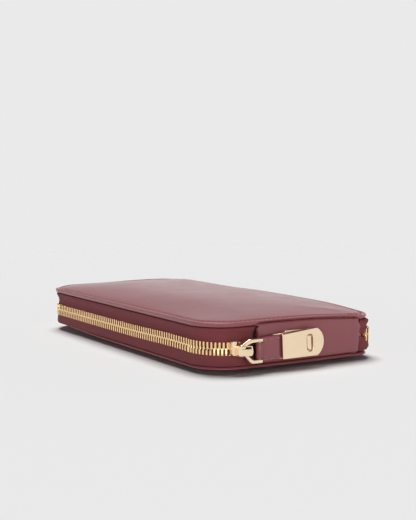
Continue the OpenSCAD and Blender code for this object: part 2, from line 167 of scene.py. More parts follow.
class Shader:
    """Node tree of one material, of the world or of a stage surface."""

    def __init__(self, owner: bpy.types.Material | bpy.types.World) -> None:
        """Clears the owner's tree down to its output.

        Args:
            owner: The material or the world.
        """
        owner.use_nodes = True
        self.tree = owner.node_tree
        self.last = next(node for node in self.tree.nodes if node.type.startswith("OUTPUT"))
        for node in list(self.tree.nodes):
            if node != self.last:
                self.tree.nodes.remove(node)

    @staticmethod
    def socket(sockets: bpy.types.NodeInputs, key: int | str) -> bpy.types.NodeSocket:
        """Finds a socket by place, identifier or name.

        Args:
            sockets: Inputs or outputs of a node.
            key: Place, identifier or name.

        Returns:
            The socket.
        """
        if isinstance(key, int):
            return sockets[key]
        return next((found for found in sockets if found.identifier == key), None) or sockets[key]

    def node(self, kind: str, settings: dict | None = None, inputs: dict | None = None,
             output: int | str = 0) -> Value:
        """Adds a node.

        Args:
            kind: Type of the node.
            settings: Its properties.
            inputs: Values or links of its sockets.
            output: The socket to return.

        Returns:
            The chosen output.
        """
        made = self.tree.nodes.new(kind)
        for name, value in (settings or {}).items():
            setattr(made, name, value)
        for key, value in (inputs or {}).items():
            socket = self.socket(made.inputs, key)
            if isinstance(value, Value):
                self.tree.links.new(value.socket, socket)
            else:
                socket.default_value = value
        return Value(self, self.socket(made.outputs, output))

    def place(self) -> Value:
        """Object coordinates."""
        return self.node("ShaderNodeTexCoord", output="Object")

    def noise(self, place: Value, size: float, detail: float = 2.0) -> Value:
        """Noise of 0 to 1 with features of about the given size."""
        return self.node("ShaderNodeTexNoise", inputs={"Vector": place, "Scale": 1 / size, "Detail": detail})

    def step(self, value: Value, start: float, end: float) -> Value:
        """Smooth step of a value from 0 to 1."""
        return self.node("ShaderNodeMapRange", {"interpolation_type": "SMOOTHSTEP"},
                         {"Value": value, "From Min": start, "From Max": end})

    def mix(self, share: Value, first: Colour | Value, second: Colour | Value) -> Value:
        """Mixes two colours by a share.

        Args:
            share: Share of the second colour.
            first: First colour.
            second: Second colour.

        Returns:
            The mixed colour.
        """
        inputs = {"Factor_Float": share}
        for key, side in (("A_Color", first), ("B_Color", second)):
            inputs[key] = side if isinstance(side, Value) else (*side, 1.0)
        return self.node("ShaderNodeMix", {"data_type": "RGBA"}, inputs, "Result_Color")

    def tones(self, share: Value, colour: Colour, dark: float, light: float) -> Value:
        """Mixes a darker and a lighter version of a colour."""
        return self.mix(share, shade(colour, dark), shade(colour, light))

    def bump(self, height: Value, distance: float) -> Value:
        """Bump from a height of 0 to 1 over a distance."""
        return self.node("ShaderNodeBump", inputs={"Height": height, "Distance": distance, "Strength": 1.0})

    def end(self, surface: Value) -> None:
        """Links the surface to the output."""
        self.tree.links.new(surface.socket, self.last.inputs["Surface"])

    def principled(self, **inputs: "Value | float | tuple") -> None:
        """Ends the tree in a Principled shader; underscores in the names stand for spaces."""
        named = {key.replace("_", " "): value for key, value in inputs.items()}
        self.end(self.node("ShaderNodeBsdfPrincipled", inputs=named))


@dataclass(frozen=True)
class Finish:
    """A finish with its own material, made once."""

    name: str
    slot: Slot
    colour: Colour

    def material(self) -> bpy.types.Material:
        """Finds or makes the material.

        Returns:
            The material.
        """
        found = bpy.data.materials.get(self.name)
        if found is None:
            found = bpy.data.materials.new(self.name)
            self.build(Shader(found))
        return found

    def build(self, shader: Shader) -> None:
        """Fills the material's tree."""
        raise NotImplementedError


@dataclass(frozen=True)
class SmoothLeather(Finish):
    """Smooth dyed leather: faint clouds in the dye, fine pores, and paler edges, partly rubbed wear and
    partly a painted highlight.
    """

    roughness: float = 0.23
    pore: float = 0.55 * MM
    relief: float = 0.01 * MM
    cloud: float = 18 * MM
    mottling: float = 0.1
    # Paler colour of the rim's crest: partly rubbed wear, partly a painted highlight.
    rubbed_and_highlight: Colour = srgb(190, 146, 150)

    def build(self, shader: Shader) -> None:
        """Fills the material's tree.

        Args:
            shader: Tree of the material.
        """
        place = shader.place()
        clouds = shader.noise(place, self.cloud, 3.0)
        pores = shader.node("ShaderNodeTexVoronoi", inputs={"Vector": place, "Scale": 1 / self.pore})
        creases = shader.noise(place, self.pore * 0.6, 3.0)
        # Painted highlight mixed with rubbed wear: the worn attribute peaks at the rim's crest and pales the
        # colour there.
        edge = shader.node("ShaderNodeAttribute", {"attribute_name": "worn"}, output="Fac")
        wear_and_highlight = edge * (shader.noise(place, 3 * MM, 4.0) * 0.6 + 0.4)
        dye = shader.tones(clouds, self.colour, 1 - self.mottling, 1 + self.mottling)
        shader.principled(
            Base_Color=shader.mix(wear_and_highlight, dye, self.rubbed_and_highlight),
            Roughness=self.roughness + (clouds - 0.5) * 0.1 + (creases - 0.5) * 0.06,
            Normal=shader.bump(pores * 0.6 + creases * 0.4, self.relief), Specular_IOR_Level=0.5)


@dataclass(frozen=True)
class Twill(Finish):
    """Woven zip tape: twill lines that run slantwise along the tape, and painted shade at the start of each
    tape, where it dives into the gap behind the end panel.
    """

    line: float = 1.05 * MM
    yarn: float = 0.5 * MM
    painted_shade_from: float = 1.6 * MM
    painted_shade_to: float = 3.4 * MM

    def build(self, shader: Shader) -> None:
        """Fills the material's tree.

        Args:
            shader: Tree of the material.
        """
        run = shader.node("ShaderNodeUVMap", {"uv_map": "run"})
        along = shader.node("ShaderNodeSeparateXYZ", inputs={0: run})
        slant = ((along + along.output("Y")) * (math.tau / self.line)).math("SINE")
        weft = (along * (math.tau / self.yarn)).math("SINE")
        fuzz = shader.noise(shader.place(), 0.7 * MM, 3.0)
        height = slant * 0.35 + weft * 0.1 + fuzz * 0.5 + 0.3
        # Painted shade: over the first few millimetres of each tape's run the colour darkens to 0.12 of
        # itself, standing for the shadow in the gap by the end panel.
        past_painted_shade = shader.step(along, self.painted_shade_from, self.painted_shade_to)
        woven = shader.tones(height, self.colour, 0.72, 1.22)
        shader.principled(
            Base_Color=shader.mix(past_painted_shade, shade(self.colour, 0.12), woven),
            Roughness=0.72 + (fuzz - 0.5) * 0.2,
            Normal=shader.bump(height, 0.12 * MM), Specular_IOR_Level=0.25)


@dataclass(frozen=True)
class Plating(Finish):
    """Pale gold plating with hairline marks."""

    roughness: float = 0.18
    satin: float = 0.01 * MM

    def build(self, shader: Shader) -> None:
        """Fills the material's tree.

        Args:
            shader: Tree of the material.
        """
        place = shader.place()
        haze = shader.noise(place, 4 * MM, 3.0)
        blast = shader.noise(place, 0.35 * MM)
        stretched = shader.node("ShaderNodeMapping", inputs={"Vector": place, "Scale": (1.0, 0.08, 1.0)})
        hairlines = shader.noise(stretched, 0.25 * MM)
        shader.principled(
            Base_Color=shader.tones(haze * 0.6 + blast * 0.4, self.colour, 0.93, 1.05), Metallic=1.0,
            Roughness=self.roughness + (haze - 0.5) * 0.1 + (hairlines - 0.5) * 0.12,
            Normal=shader.bump(blast, self.satin))


@dataclass(frozen=True)
class Thread(Finish):
    """Waxed sewing thread with its twist."""

    def build(self, shader: Shader) -> None:
        """Fills the material's tree.

        Args:
            shader: Tree of the material.
        """
        twist = shader.noise(shader.place(), 0.3 * MM)
        shader.principled(Base_Color=shader.tones(twist, self.colour, 0.75, 1.25),
                          Roughness=0.5 + twist * 0.2, Normal=shader.bump(twist, 0.05 * MM))


@dataclass(frozen=True)
class Weave(Finish):
    """Plain woven lining, or pressed card with fibres when its threads are wide."""

    thread: float = 0.5 * MM

    def build(self, shader: Shader) -> None:
        """Fills the material's tree.

        Args:
            shader: Tree of the material.
        """
        place = shader.place()
        apart = shader.node("ShaderNodeSeparateXYZ", inputs={0: place})
        x, y, z = ((apart.output(axis) * (math.tau / self.thread)).math("SINE") for axis in "XYZ")
        fuzz = shader.noise(place, 2 * self.thread, 3.0)
        height = x * y * 0.25 + z * 0.1 + fuzz * 0.5 + 0.25
        shader.principled(Base_Color=shader.tones(height, self.colour, 0.8, 1.15),
                          Roughness=0.75 + (fuzz - 0.5) * 0.2, Normal=shader.bump(height, 0.06 * MM))


COVER = SmoothLeather("cover leather", Slot.COVER, srgb(146, 79, 85))
INNER = SmoothLeather("inner leather", Slot.INNER, srgb(138, 74, 80), roughness=0.42)
TAPE = Twill("zip tape twill", Slot.TAPE, srgb(124, 60, 65))
TEETH = Plating("zip teeth gold", Slot.TEETH, srgb(255, 217, 162))
GOLD = Plating("pale gold", Slot.GOLD, srgb(255, 231, 197), satin=0.012 * MM)
STEEL = Plating("stamped steel", Slot.STEEL, srgb(190, 190, 188), roughness=0.4)
LINING = Weave("lining cloth", Slot.LINING, srgb(140, 84, 88))
FILLER = Weave("pressed card", Slot.FILLER, srgb(214, 208, 196), thread=1.5 * MM)
THREAD = Thread("seam thread", Slot.COVER, srgb(172, 116, 122))
FINISHES = {finish.slot: finish for finish in (COVER, INNER, TAPE, TEETH, GOLD, STEEL, LINING, FILLER)}


def label(obj: bpy.types.Object, slot: Slot, *nodes: str) -> bpy.types.Object:
    """Hides the solids that a piece replaces, and logs its material slot.

    Args:
        obj: The piece.
        slot: Its material slot.
        nodes: The solids that it replaces.

    Returns:
        The piece.
    """
    if nodes:
        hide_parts(*nodes)
    LOG.info("%s: %s", obj.name, slot.value)
    return obj


def ride_piece(obj: bpy.types.Object, body: Body, slot: Slot, *nodes: str) -> bpy.types.Object:
    """Lets a piece ride on its body, and labels it."""
    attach(obj, body.value)
    return label(obj, slot, *nodes)


def bend_piece(obj: bpy.types.Object, slot: Slot, start: Spot, end: Spot, *nodes: str) -> bpy.types.Object:
    """Bakes a piece's placement into its mesh, and labels it; the piece is not made to bend."""
    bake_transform(obj)
    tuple(start)
    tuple(end)
    return label(obj, slot, *nodes)


class Shape:
    """Mesh of a piece while it is being built."""

    def __init__(self) -> None:
        """Starts an empty mesh with a map for patterns that follow a run."""
        self.mesh = bmesh.new()
        self.map = self.mesh.loops.layers.uv.new("run")
        # Share of rubbed wear and painted highlight at each point, which the leather reads.
        self.worn = self.mesh.verts.layers.float.new("worn")

    def loft(self, rows: Sequence[Sequence[Vector]], ring: bool = False, tube: bool = True,
             worn: Sequence[float] = ()) -> "Shape":
        """Skins rows of points, and fills the ends of a tube.

        Args:
            rows: Rows with the same number of points each.
            ring: Whether the last row joins the first.
            tube: Whether each row is closed.
            worn: Share of rubbed wear and painted highlight of each point of a row, from 0 to 1.

        Returns:
            This shape.
        """
        grid = [[self.mesh.verts.new(point) for point in row] for row in rows]
        for line in grid:
            for vert, wear_and_highlight in zip(line, worn):
                vert[self.worn] = wear_and_highlight
        across, along = [0.0], [0.0]
        for first, second in zip(rows[0], rows[0][1:] + rows[0][:1]):
            across.append(across[-1] + (second - first).length)
        for first, second in zip(rows, list(rows[1:]) + list(rows[:1])):
            along.append(along[-1] + (second[0] - first[0]).length)
        for i in range(len(grid) if ring else len(grid) - 1):
            here, there = grid[i], grid[(i + 1) % len(grid)]
            for j in range(len(here) if tube else len(here) - 1):
                k = (j + 1) % len(here)
                face = self.mesh.faces.new((here[j], here[k], there[k], there[j]))
                spots = ((i, j), (i, j + 1), (i + 1, j + 1), (i + 1, j))
                for loop, (step, place) in zip(face.loops, spots):
                    loop[self.map].uv = (along[step], across[place])
        if tube and not ring:
            self.mesh.faces.new(grid[0])
            self.mesh.faces.new(grid[-1])
        return self

    def close(self, points: Sequence[Vector]) -> "Shape":
        """Closes a ring of points with faces across its middle line, on both sides of which it is alike.

        Args:
            points: The ring.

        Returns:
            This shape.
        """
        verts = [self.mesh.verts.new(point) for point in points]
        count = len(verts)
        for i in range(count // 2):
            corners = (verts[i], verts[i + 1], verts[count - i - 1], verts[(count - i) % count])
            self.mesh.faces.new(list(dict.fromkeys(corners)))
        return self

    def plate(self, outlines: Sequence[Sequence[Flat]], thickness: float, bevel: float,
              place: Matrix) -> "Shape":
        """Adds a flat plate with rounded edges; outlines after the first are holes.

        Args:
            outlines: Closed outlines in the plane of the plate.
            thickness: Thickness, from the plane of the outlines upwards.
            bevel: Radius of the rounded edges.
            place: Where the plate goes.

        Returns:
            This shape.
        """
        curve = bpy.data.curves.new("plate", "CURVE")
        curve.dimensions = "2D"
        curve.fill_mode = "BOTH"
        curve.bevel_depth = bevel
        curve.bevel_resolution = 2
        curve.offset = -bevel
        curve.extrude = thickness / 2 - bevel
        for outline in outlines:
            spline = curve.splines.new("POLY")
            spline.points.add(len(outline) - 1)
            spline.use_cyclic_u = True
            for point, (u, v) in zip(spline.points, outline):
                point.co = (u, v, 0.0, 1.0)
        holder = bpy.data.objects.new("plate", curve)
        made = bpy.data.meshes.new_from_object(holder)
        made.transform(place @ level(thickness / 2))
        self.mesh.from_mesh(made)
        bpy.data.objects.remove(holder)
        bpy.data.curves.remove(curve)
        bpy.data.meshes.remove(made)
        return self

    def bevelled(self, node: str, bevel: float, segments: int = 2) -> "Shape":
        """Adds a copy of a solid with its sharp edges rounded.

        Args:
            node: The solid.
            bevel: Radius of the rounded edges.
            segments: Steps in the rounding.

        Returns:
            This shape.
        """
        start = bmesh.new()
        start.from_mesh(frame["nodes"][node].data)
        bmesh.ops.remove_doubles(start, verts=start.verts, dist=1e-6)
        bmesh.ops.dissolve_limit(start, angle_limit=math.radians(1), verts=start.verts, edges=start.edges)
        sharp = [edge for edge in start.edges if edge.calc_face_angle(0.0) > math.radians(35)]
        bmesh.ops.bevel(start, geom=sharp, offset=bevel, segments=segments, profile=0.5, affect="EDGES",
                        clamp_overlap=True)
        made = bpy.data.meshes.new("copy")
        start.to_mesh(made)
        start.free()
        self.mesh.from_mesh(made)
        bpy.data.meshes.remove(made)
        return self

    def turn_out(self) -> None:
        """Turns the faces of each closed part outwards."""
        bmesh.ops.recalc_face_normals(self.mesh, faces=self.mesh.faces)
        left = set(self.mesh.faces)
        while left:
            part = [left.pop()]
            for face in part:
                near = {other for edge in face.edges for other in edge.link_faces} & left
                left -= near
                part.extend(near)
            if sum(face.calc_center_median().dot(face.normal) * face.calc_area() for face in part) < 0:
                bmesh.ops.reverse_faces(self.mesh, faces=part)

    def make(self, name: str, finish: Finish, sharp: float = 40.0) -> bpy.types.Object:
        """Turns the shape into an object.

        Args:
            name: Name of the piece.
            finish: Its finish.
            sharp: Angle in degrees above which an edge stays sharp.

        Returns:
            The object, in the scene.
        """
        bmesh.ops.remove_doubles(self.mesh, verts=self.mesh.verts, dist=1e-6)
        self.turn_out()
        made = bpy.data.meshes.new(name)
        self.mesh.to_mesh(made)
        self.mesh.free()
        made.shade_smooth()
        made.set_sharp_from_angle(angle=math.radians(sharp))
        made.materials.append(finish.material())
        obj = bpy.data.objects.new(name, made)
        bpy.context.scene.collection.objects.link(obj)
        return obj

    def piece(self, name: str, finish: Finish, body: Body, *nodes: str,
              sharp: float = 50.0) -> bpy.types.Object:
        """Turns the shape into an object that rides on a body and replaces solids."""
        return ride_piece(self.make(name, finish, sharp), body, finish.slot, *nodes)


def level(z: float) -> Matrix:
    """Places a level plate at a height."""
    return Matrix.Translation((0, 0, z))


def outwards(x: float) -> Matrix:
    """Places a plate drawn across and up on the end face of the wallet, facing +X."""
    turn = Matrix(((0, 0, 1, 0), (1, 0, 0, 0), (0, 1, 0, 0), (0, 0, 0, 1)))
    return Matrix.Translation((x, 0, 0)) @ turn


def in_mm(*corners: Flat) -> list[Flat]:
    """Corners given in millimetres, in metres."""
    return [(u * MM, v * MM) for u, v in corners]


def fillet(points: Sequence[Flat], radius: float, steps: int = 4) -> list[Flat]:
    """Rounds the corners of a closed outline.

    Args:
        points: Corners of the outline.
        radius: How far from a corner the rounding starts, at most half an edge.
        steps: Steps in one corner.

    Returns:
        The rounded outline.
    """
    rounded = []
    for i, (u, v) in enumerate(points):
        corner = Vector((u, v))
        ends = []
        for near in (points[i - 1], points[(i + 1) % len(points)]):
            edge = Vector(near) - corner
            ends.append(corner + edge.normalized() * min(radius, edge.length / 2))
        for step in range(steps + 1):
            t = step / steps
            spot = ends[0] * (1 - t) ** 2 + corner * 2 * t * (1 - t) + ends[1] * t ** 2
            rounded.append((spot.x, spot.y))
    return rounded


def rounded_box(length: float, width: float, radius: float,
                middle: Sequence[float] = (0.0, 0.0)) -> list[Flat]:
    """Rectangle with round corners, as an outline.

    Args:
        length: Its length.
        width: Its width.
        radius: Radius of its corners.
        middle: Its middle.

    Returns:
        The outline.
    """
    x, y = length / 2, width / 2
    corners = [(-x, -y), (x, -y), (x, y), (-x, y)]
    return [(u + middle[0], v + middle[1]) for u, v in fillet(corners, radius, 6)]


def oblong(length: float, width: float, middle: float) -> list[Flat]:
    """Outline of an upright oblong with round ends.

    Args:
        length: Its length.
        width: Its width.
        middle: Its middle, across.

    Returns:
        The outline.
    """
    half = (length - width) / 2
    made = []
    for end in (1, -1):
        for k in range(13):
            angle = math.pi * k / 12 + (0 if end > 0 else math.pi)
            made.append((middle + width / 2 * math.cos(angle), end * half + width / 2 * math.sin(angle)))
    return made


@dataclass(frozen=True)
class Tooth:
    """One zip tooth along X: a narrow leg that clamps the tape, and a wider head past the middle."""

    width: float
    deep: float
    foot: float
    head: float
    wide: float = 1.25
    cut: float = 0.16

    def shape(self, turn: Matrix) -> Shape:
        """Builds the tooth, turned to its row.

        Args:
            turn: Turn to its row.

        Returns:
            The tooth.
        """
        foot, head, wide = self.foot, self.head, self.wide
        levels = ((foot, 0.7, 0.78), (0.94 * foot, 1.0, 1.0), (0.26 * foot, 1.0, 1.0),
                  (0.14 * foot, wide, 0.88), (-0.6 * head, wide, 0.78), (-head, 0.8 * wide, 0.55))
        rings = []
        for z, broad, thick in levels:
            w, d = self.width / 2 * broad, self.deep / 2 * thick
            cut = self.cut * self.width * broad
            rings.append([turn @ Vector((x, y, z)) for x, y in (
                (-w, cut - d), (cut - w, -d), (w - cut, -d), (w, cut - d),
                (w, d - cut), (w - cut, d), (cut - w, d), (-w, d - cut))])
        return Shape().loft(rings)


@dataclass(frozen=True)
class Station:
    """Place on the outline of the covers: the centre of its curve and the way out."""

    centre: Vector
    out: Vector
    run: float


@dataclass(frozen=True)
class Outline:
    """Rounded rectangle of the covers, run through clockwise from the middle of the right end."""

    half_length: float
    half_width: float
    corner: float
    rear_corner: float
    step: float = 1.6 * MM

    @property
    def flats(self) -> Flat:
        """Half lengths of the straight sides."""
        return self.half_length - self.corner, self.half_width - self.corner

    @property
    def length(self) -> float:
        """Length round the outline."""
        return 4 * sum(self.flats) + math.tau * self.corner

    def station(self, run: float) -> Station:
        """Finds the place at a distance along the outline.

        Args:
            run: The distance.

        Returns:
            The place.
        """
        x, y = self.flats
        left = run % self.length
        centre = Vector((x, 0.0))
        heading = 0.0
        for flat in (y, 2 * x, 2 * y, 2 * x, y):
            ahead = Vector((math.sin(heading), -math.cos(heading)))
            if left <= flat:
                return Station(centre + ahead * left, Vector((math.cos(heading), math.sin(heading))), run)
            left -= flat
            centre = centre + ahead * flat
            turned = heading - min(left / self.corner, math.pi / 2)
            if left <= math.pi / 2 * self.corner:
                return Station(centre, Vector((math.cos(turned), math.sin(turned))), run)
            left -= math.pi / 2 * self.corner
            heading -= math.pi / 2
        return Station(Vector((x, 0.0)), Vector((1.0, 0.0)), run)

    def swell(self, station: Station) -> float:
        """How far the rear right corner, which is squarer than the others, stands out past their round.

        Args:
            station: Place on the outline.

        Returns:
            The distance.
        """
        least, most = sorted(station.out)
        if least < 1e-6:
            return 0.0
        spare = self.corner - self.rear_corner
        straight = self.corner / most
        if straight * least <= spare:
            return straight - self.corner
        across = spare * (least + most)
        return across + math.sqrt(across ** 2 - 2 * spare ** 2 + self.rear_corner ** 2) - self.corner

    def point(self, station: Station, inset: float, z: float) -> Vector:
        """Point at a distance inside the outline and at a height.

        Args:
            station: Place on the outline.
            inset: Distance inside it.
            z: Height.

        Returns:
            The point.
        """
        out = self.corner - inset + self.swell(station) * max(1 - inset / self.corner, 0.0)
        flat = station.centre + station.out * out
        return Vector((flat.x, flat.y, z))

    def stations(self, start: float, end: float) -> list[Station]:
        """Even stations from one distance along the outline to another, both included."""
        count = max(2, round(abs(end - start) / self.step))
        return [self.station(start + (end - start) * i / count) for i in range(count + 1)]

    def all_round(self) -> list[Station]:
        """Even stations once round the outline."""
        return self.stations(0.0, self.length)[:-1]

    def across(self, y: float, inset: float = 0.0) -> float:
        """Distance along the outline to a place across the right end; positive towards the front.

        Args:
            y: Place across the wallet.
            inset: Distance inside the outline.

        Returns:
            The distance.
        """
        flat = self.flats[1]
        if abs(y) <= flat:
            return -y
        angle = math.asin((abs(y) - flat) / (self.corner - inset))
        return -math.copysign(flat + self.corner * angle, y)

    def depth(self, x: float, y: float) -> float:
        """Distance of a place inside the outline, as if all corners were alike.

        Args:
            x: Place along the wallet.
            y: Place across the wallet.

        Returns:
            The distance.
        """
        over_x, over_y = abs(x) - self.flats[0], abs(y) - self.flats[1]
        if max(over_x, over_y) <= 0:
            return self.corner - max(over_x, over_y)
        return self.corner - math.hypot(max(over_x, 0.0), max(over_y, 0.0))


class Pivot(Enum):
    """How a repeated shape turns to follow its path."""

    UPRIGHT = "Z"
    FREE = "AUTO"


class Row:
    """Geometry Nodes tree that sets one shape along a path, as teeth in a zip or stitches in a seam."""

    SEED = 7

    def __init__(self, pivot: Pivot) -> None:
        """Builds the tree.

        Args:
            pivot: How its shapes turn.
        """
        self.tree = bpy.data.node_groups.new(f"row {pivot.name.lower()}", "GeometryNodeTree")
        interface = self.tree.interface
        self.ids = {}
        for name, kind in (("Path", "Geometry"), ("Shape", "Object"), ("Spacing", "Float"), ("Skip", "Float"),
                           ("Unevenness", "Float"), ("Seed", "Int"), ("Finish", "Material")):
            made = interface.new_socket(name, in_out="INPUT", socket_type=f"NodeSocket{kind}")
            self.ids[name] = made.identifier
        interface.new_socket("Row", in_out="OUTPUT", socket_type="NodeSocketGeometry")
        given = self.add("NodeGroupInput")
        curve = self.add("GeometryNodeMeshToCurve", {"Mesh": given["Path"]})
        reach = self.add("GeometryNodeCurveLength", {"Curve": curve[0]})
        trimmed = self.add("GeometryNodeTrimCurve", {"Curve": curve[0], 4: given["Skip"], 5: reach[0]},
                           mode="LENGTH")
        spaced = self.add("GeometryNodeResampleCurve", {"Curve": trimmed[0], "Length": given["Spacing"]},
                          mode="LENGTH")
        shape = self.add("GeometryNodeObjectInfo", {"Object": given["Shape"]})
        tangent = self.add("GeometryNodeInputTangent")
        turned = self.add("FunctionNodeAlignRotationToVector", {"Vector": tangent[0]}, axis="X",
                          pivot_axis=pivot.value)
        least, most = (self.add("ShaderNodeMath", {0: 1.0, 1: given["Unevenness"]}, operation=operation)
                       for operation in ("SUBTRACT", "ADD"))
        scale = self.add("FunctionNodeRandomValue", {2: least[0], 3: most[0], "Seed": given["Seed"]})
        placed = self.add("GeometryNodeInstanceOnPoints", {
            "Points": spaced[0], "Instance": shape["Geometry"], "Rotation": turned[0], "Scale": scale[1]})
        whole = self.add("GeometryNodeRealizeInstances", {0: placed[0]})
        dressed = self.add("GeometryNodeSetMaterial", {"Geometry": whole[0], "Material": given["Finish"]})
        self.add("NodeGroupOutput", {0: dressed[0]})

    def add(self, kind: str, inputs: dict | None = None, **settings: str) -> bpy.types.NodeOutputs:
        """Adds a node with its settings, values and links.

        Args:
            kind: Type of the node.
            inputs: Values or links of its sockets.
            settings: Its properties.

        Returns:
            Its outputs.
        """
        made = self.tree.nodes.new(kind)
        for name, value in settings.items():
            setattr(made, name, value)
        for key, value in (inputs or {}).items():
            if isinstance(value, bpy.types.NodeSocket):
                self.tree.links.new(value, made.inputs[key])
            else:
                made.inputs[key].default_value = value
        return made.outputs

    def make(self, name: str, paths: Sequence[Sequence[Vector]], shape: Shape, finish: Finish, spacing: float,
             closed: bool = False, skip: float = 0.0, unevenness: float = 0.0) -> bpy.types.Object:
        """Makes one row, or several on one piece.

        Args:
            name: Name of the piece.
            paths: Points of each path.
            shape: The shape to repeat, with its length along +X.
            finish: Its finish.
            spacing: Distance between two shapes.
            closed: Whether each path is closed.
            skip: Length left free at the start of each path.
            unevenness: Random share by which the size varies.

        Returns:
            The row as a plain mesh.
        """
        sample = shape.make("sample", finish)
        edges, points = [], []
        for path in paths:
            first = len(points)
            points += path
            edges += [(first + i, first + i + 1) for i in range(len(path) - 1)]
            if closed:
                edges.append((len(points) - 1, first))
        line = bpy.data.meshes.new(name)
        line.from_pydata(points, edges, [])
        obj = bpy.data.objects.new(name, line)
        bpy.context.scene.collection.objects.link(obj)
        modifier = obj.modifiers.new("row", "NODES")
        modifier.node_group = self.tree
        given = {"Shape": sample, "Spacing": spacing, "Skip": skip, "Unevenness": unevenness,
                 "Seed": self.SEED, "Finish": finish.material()}
        for key, value in given.items():
            modifier[self.ids[key]] = value
        made = bpy.data.meshes.new_from_object(obj.evaluated_get(bpy.context.evaluated_depsgraph_get()))
        obj.modifiers.clear()
        obj.data = made
        made.name = name
        bpy.data.meshes.remove(line)
        bpy.data.objects.remove(sample)
        return obj


@dataclass(frozen=True)
class Stitching:
    """Seams of tone-on-tone thread."""

    row: Row
    pitch: float = 2.8 * MM
    stitch: float = 2.0 * MM
    thickness: float = 0.46 * MM
    unevenness: float = 0.06

    def one(self) -> Shape:
        """One stitch: a short thread that dips at both ends.

        Returns:
            The stitch.
        """
        rings = []
        for share, size in ((-0.5, 0.35), (-0.36, 0.85), (0.0, 1.0), (0.36, 0.85), (0.5, 0.35)):
            dip = -0.9 * self.thickness * (2 * abs(share)) ** 4
            radius = self.thickness / 2 * size
            turns = [(math.cos(math.tau * i / 6), math.sin(math.tau * i / 6)) for i in range(6)]
            rings.append([Vector((share * self.stitch, radius * y, radius * z + dip)) for y, z in turns])
        return Shape().loft(rings)

    def sew(self, name: str, body: Body, slot: Slot, *paths: Sequence[Vector], closed: bool = False) -> None:
        """Sews stitches along paths, all on one body.

        Args:
            name: First part of the name.
            body: The body that carries it.
            slot: Its material slot.
            paths: Points of each seam.
            closed: Whether each seam is closed.
        """
        made = self.row.make(f"{name}_stitches", paths, self.one(), THREAD, self.pitch, closed=closed,
                             unevenness=self.unevenness)
        ride_piece(made, body, slot)


@dataclass(frozen=True)
class Lamp:
    """A wide soft sun: its way, its width in degrees, its share of the light, and a flag off the floor."""

    name: str
    way: Spot
    angle: float
    share: float
    flagged: bool = False

    def hang(self, floor: bpy.types.Object) -> None:
        """Adds the lamp to the scene.

        Args:
            floor: The floor, which a flagged lamp leaves out.
        """
        way = Vector(self.way).normalized()
        light = bpy.data.lights.new(self.name, "SUN")
        light.energy = self.share * math.pi / way.z
        light.angle = math.radians(self.angle)
        holder = bpy.data.objects.new(self.name, light)
        holder.rotation_euler = (-way).to_track_quat("-Z", "Y").to_euler()
        bpy.context.scene.collection.objects.link(holder)
        if self.flagged:
            unlit = bpy.data.collections.new(f"not lit by {self.name}")
            unlit.objects.link(floor)
            holder.light_linking.receiver_collection = unlit
            unlit.collection_objects[0].light_linking.link_state = "EXCLUDE"


@dataclass(frozen=True)
class Studio:
    """Camera, pale floor and soft light."""

    position: Spot = (506.4 * MM, -306.2 * MM, 98.8 * MM)
    azimuth: float = 58.181
    pitch: float = 4.985
    lens: float = 71.07
    sensor: float = 36.0
    clip: float = 0.01
    backdrop: Colour = srgb(234, 234, 234)
    ceiling: Colour = srgb(62, 62, 62)
    ceiling_from: float = 0.08
    ceiling_to: float = 0.39
    floor_size: float = 4.0
    fade: Flat = (0.25, 0.9)
    lamps: tuple[Lamp, ...] = (
        Lamp("key", (-0.27, 0.06, 1.0), 34.0, 0.9),
        Lamp("fill", (0.85, -0.35, 0.26), 60.0, 0.1, flagged=True),
    )

    def camera(self) -> None:
        """Sets the camera at the photograph's viewing angle."""
        data = bpy.data.cameras.new("camera")
        data.lens = self.lens
        data.sensor_width = self.sensor
        data.clip_start = self.clip
        camera = bpy.data.objects.new("camera", data)
        turn, up = math.radians(self.azimuth), math.radians(self.pitch)
        back = Vector((math.sin(turn) * math.cos(up), -math.cos(turn) * math.cos(up), math.sin(up)))
        camera.location = self.position
        camera.rotation_euler = (-back).to_track_quat("-Z", "Y").to_euler()
        bpy.context.scene.collection.objects.link(camera)
        bpy.context.scene.camera = camera

    def floor(self) -> bpy.types.Object:
        """Lays the floor, which fades into the backdrop.

        Returns:
            The floor.
        """
        half = self.floor_size / 2
        mesh = bpy.data.meshes.new("floor")
        mesh.from_pydata([(-half, -half, 0), (half, -half, 0), (half, half, 0), (-half, half, 0)], [],
                         [(0, 1, 2, 3)])
        floor = bpy.data.objects.new("floor", mesh)
        bpy.context.scene.collection.objects.link(floor)
        material = bpy.data.materials.new("pale floor")
        shader = Shader(material)
        far = shader.node("ShaderNodeVectorMath", {"operation": "LENGTH"}, {0: shader.place()}, "Value")
        plain = shader.node("ShaderNodeBsdfPrincipled", inputs={
            "Base Color": (*self.backdrop, 1.0), "Roughness": 0.9, "Specular IOR Level": 0.0})
        clear = shader.node("ShaderNodeBsdfTransparent")
        share = shader.step(far, *self.fade)
        shader.end(shader.node("ShaderNodeMixShader", inputs={0: share, 1: plain, 2: clear}))
        mesh.materials.append(material)
        return floor

    def world(self) -> None:
        """Surrounds the scene with a pale backdrop that darkens upwards, and is plain where it is seen."""
        world = bpy.data.worlds.new("studio")
        bpy.context.scene.world = world
        shader = Shader(world)
        way = shader.node("ShaderNodeTexCoord", output="Generated")
        height = shader.node("ShaderNodeSeparateXYZ", inputs={0: way}, output="Z")
        dim = shader.mix(shader.step(height, self.ceiling_from, self.ceiling_to), self.backdrop, self.ceiling)
        room, plain = (shader.node("ShaderNodeBackground", inputs={"Color": colour, "Strength": 1.0})
                       for colour in (dim, (*self.backdrop, 1.0)))
        seen = shader.node("ShaderNodeLightPath", output="Is Camera Ray")
        shown = (seen + seen.output("Is Transmission Ray")).math("MINIMUM", 1.0)
        shader.end(shader.node("ShaderNodeMixShader", inputs={0: shown, 1: room, 2: plain}))

    def build(self) -> None:
        """Sets up the whole studio."""
        bpy.context.scene.view_settings.view_transform = "Standard"
        self.camera()
        self.world()
        floor = self.floor()
        for lamp in self.lamps:
            lamp.hang(floor)


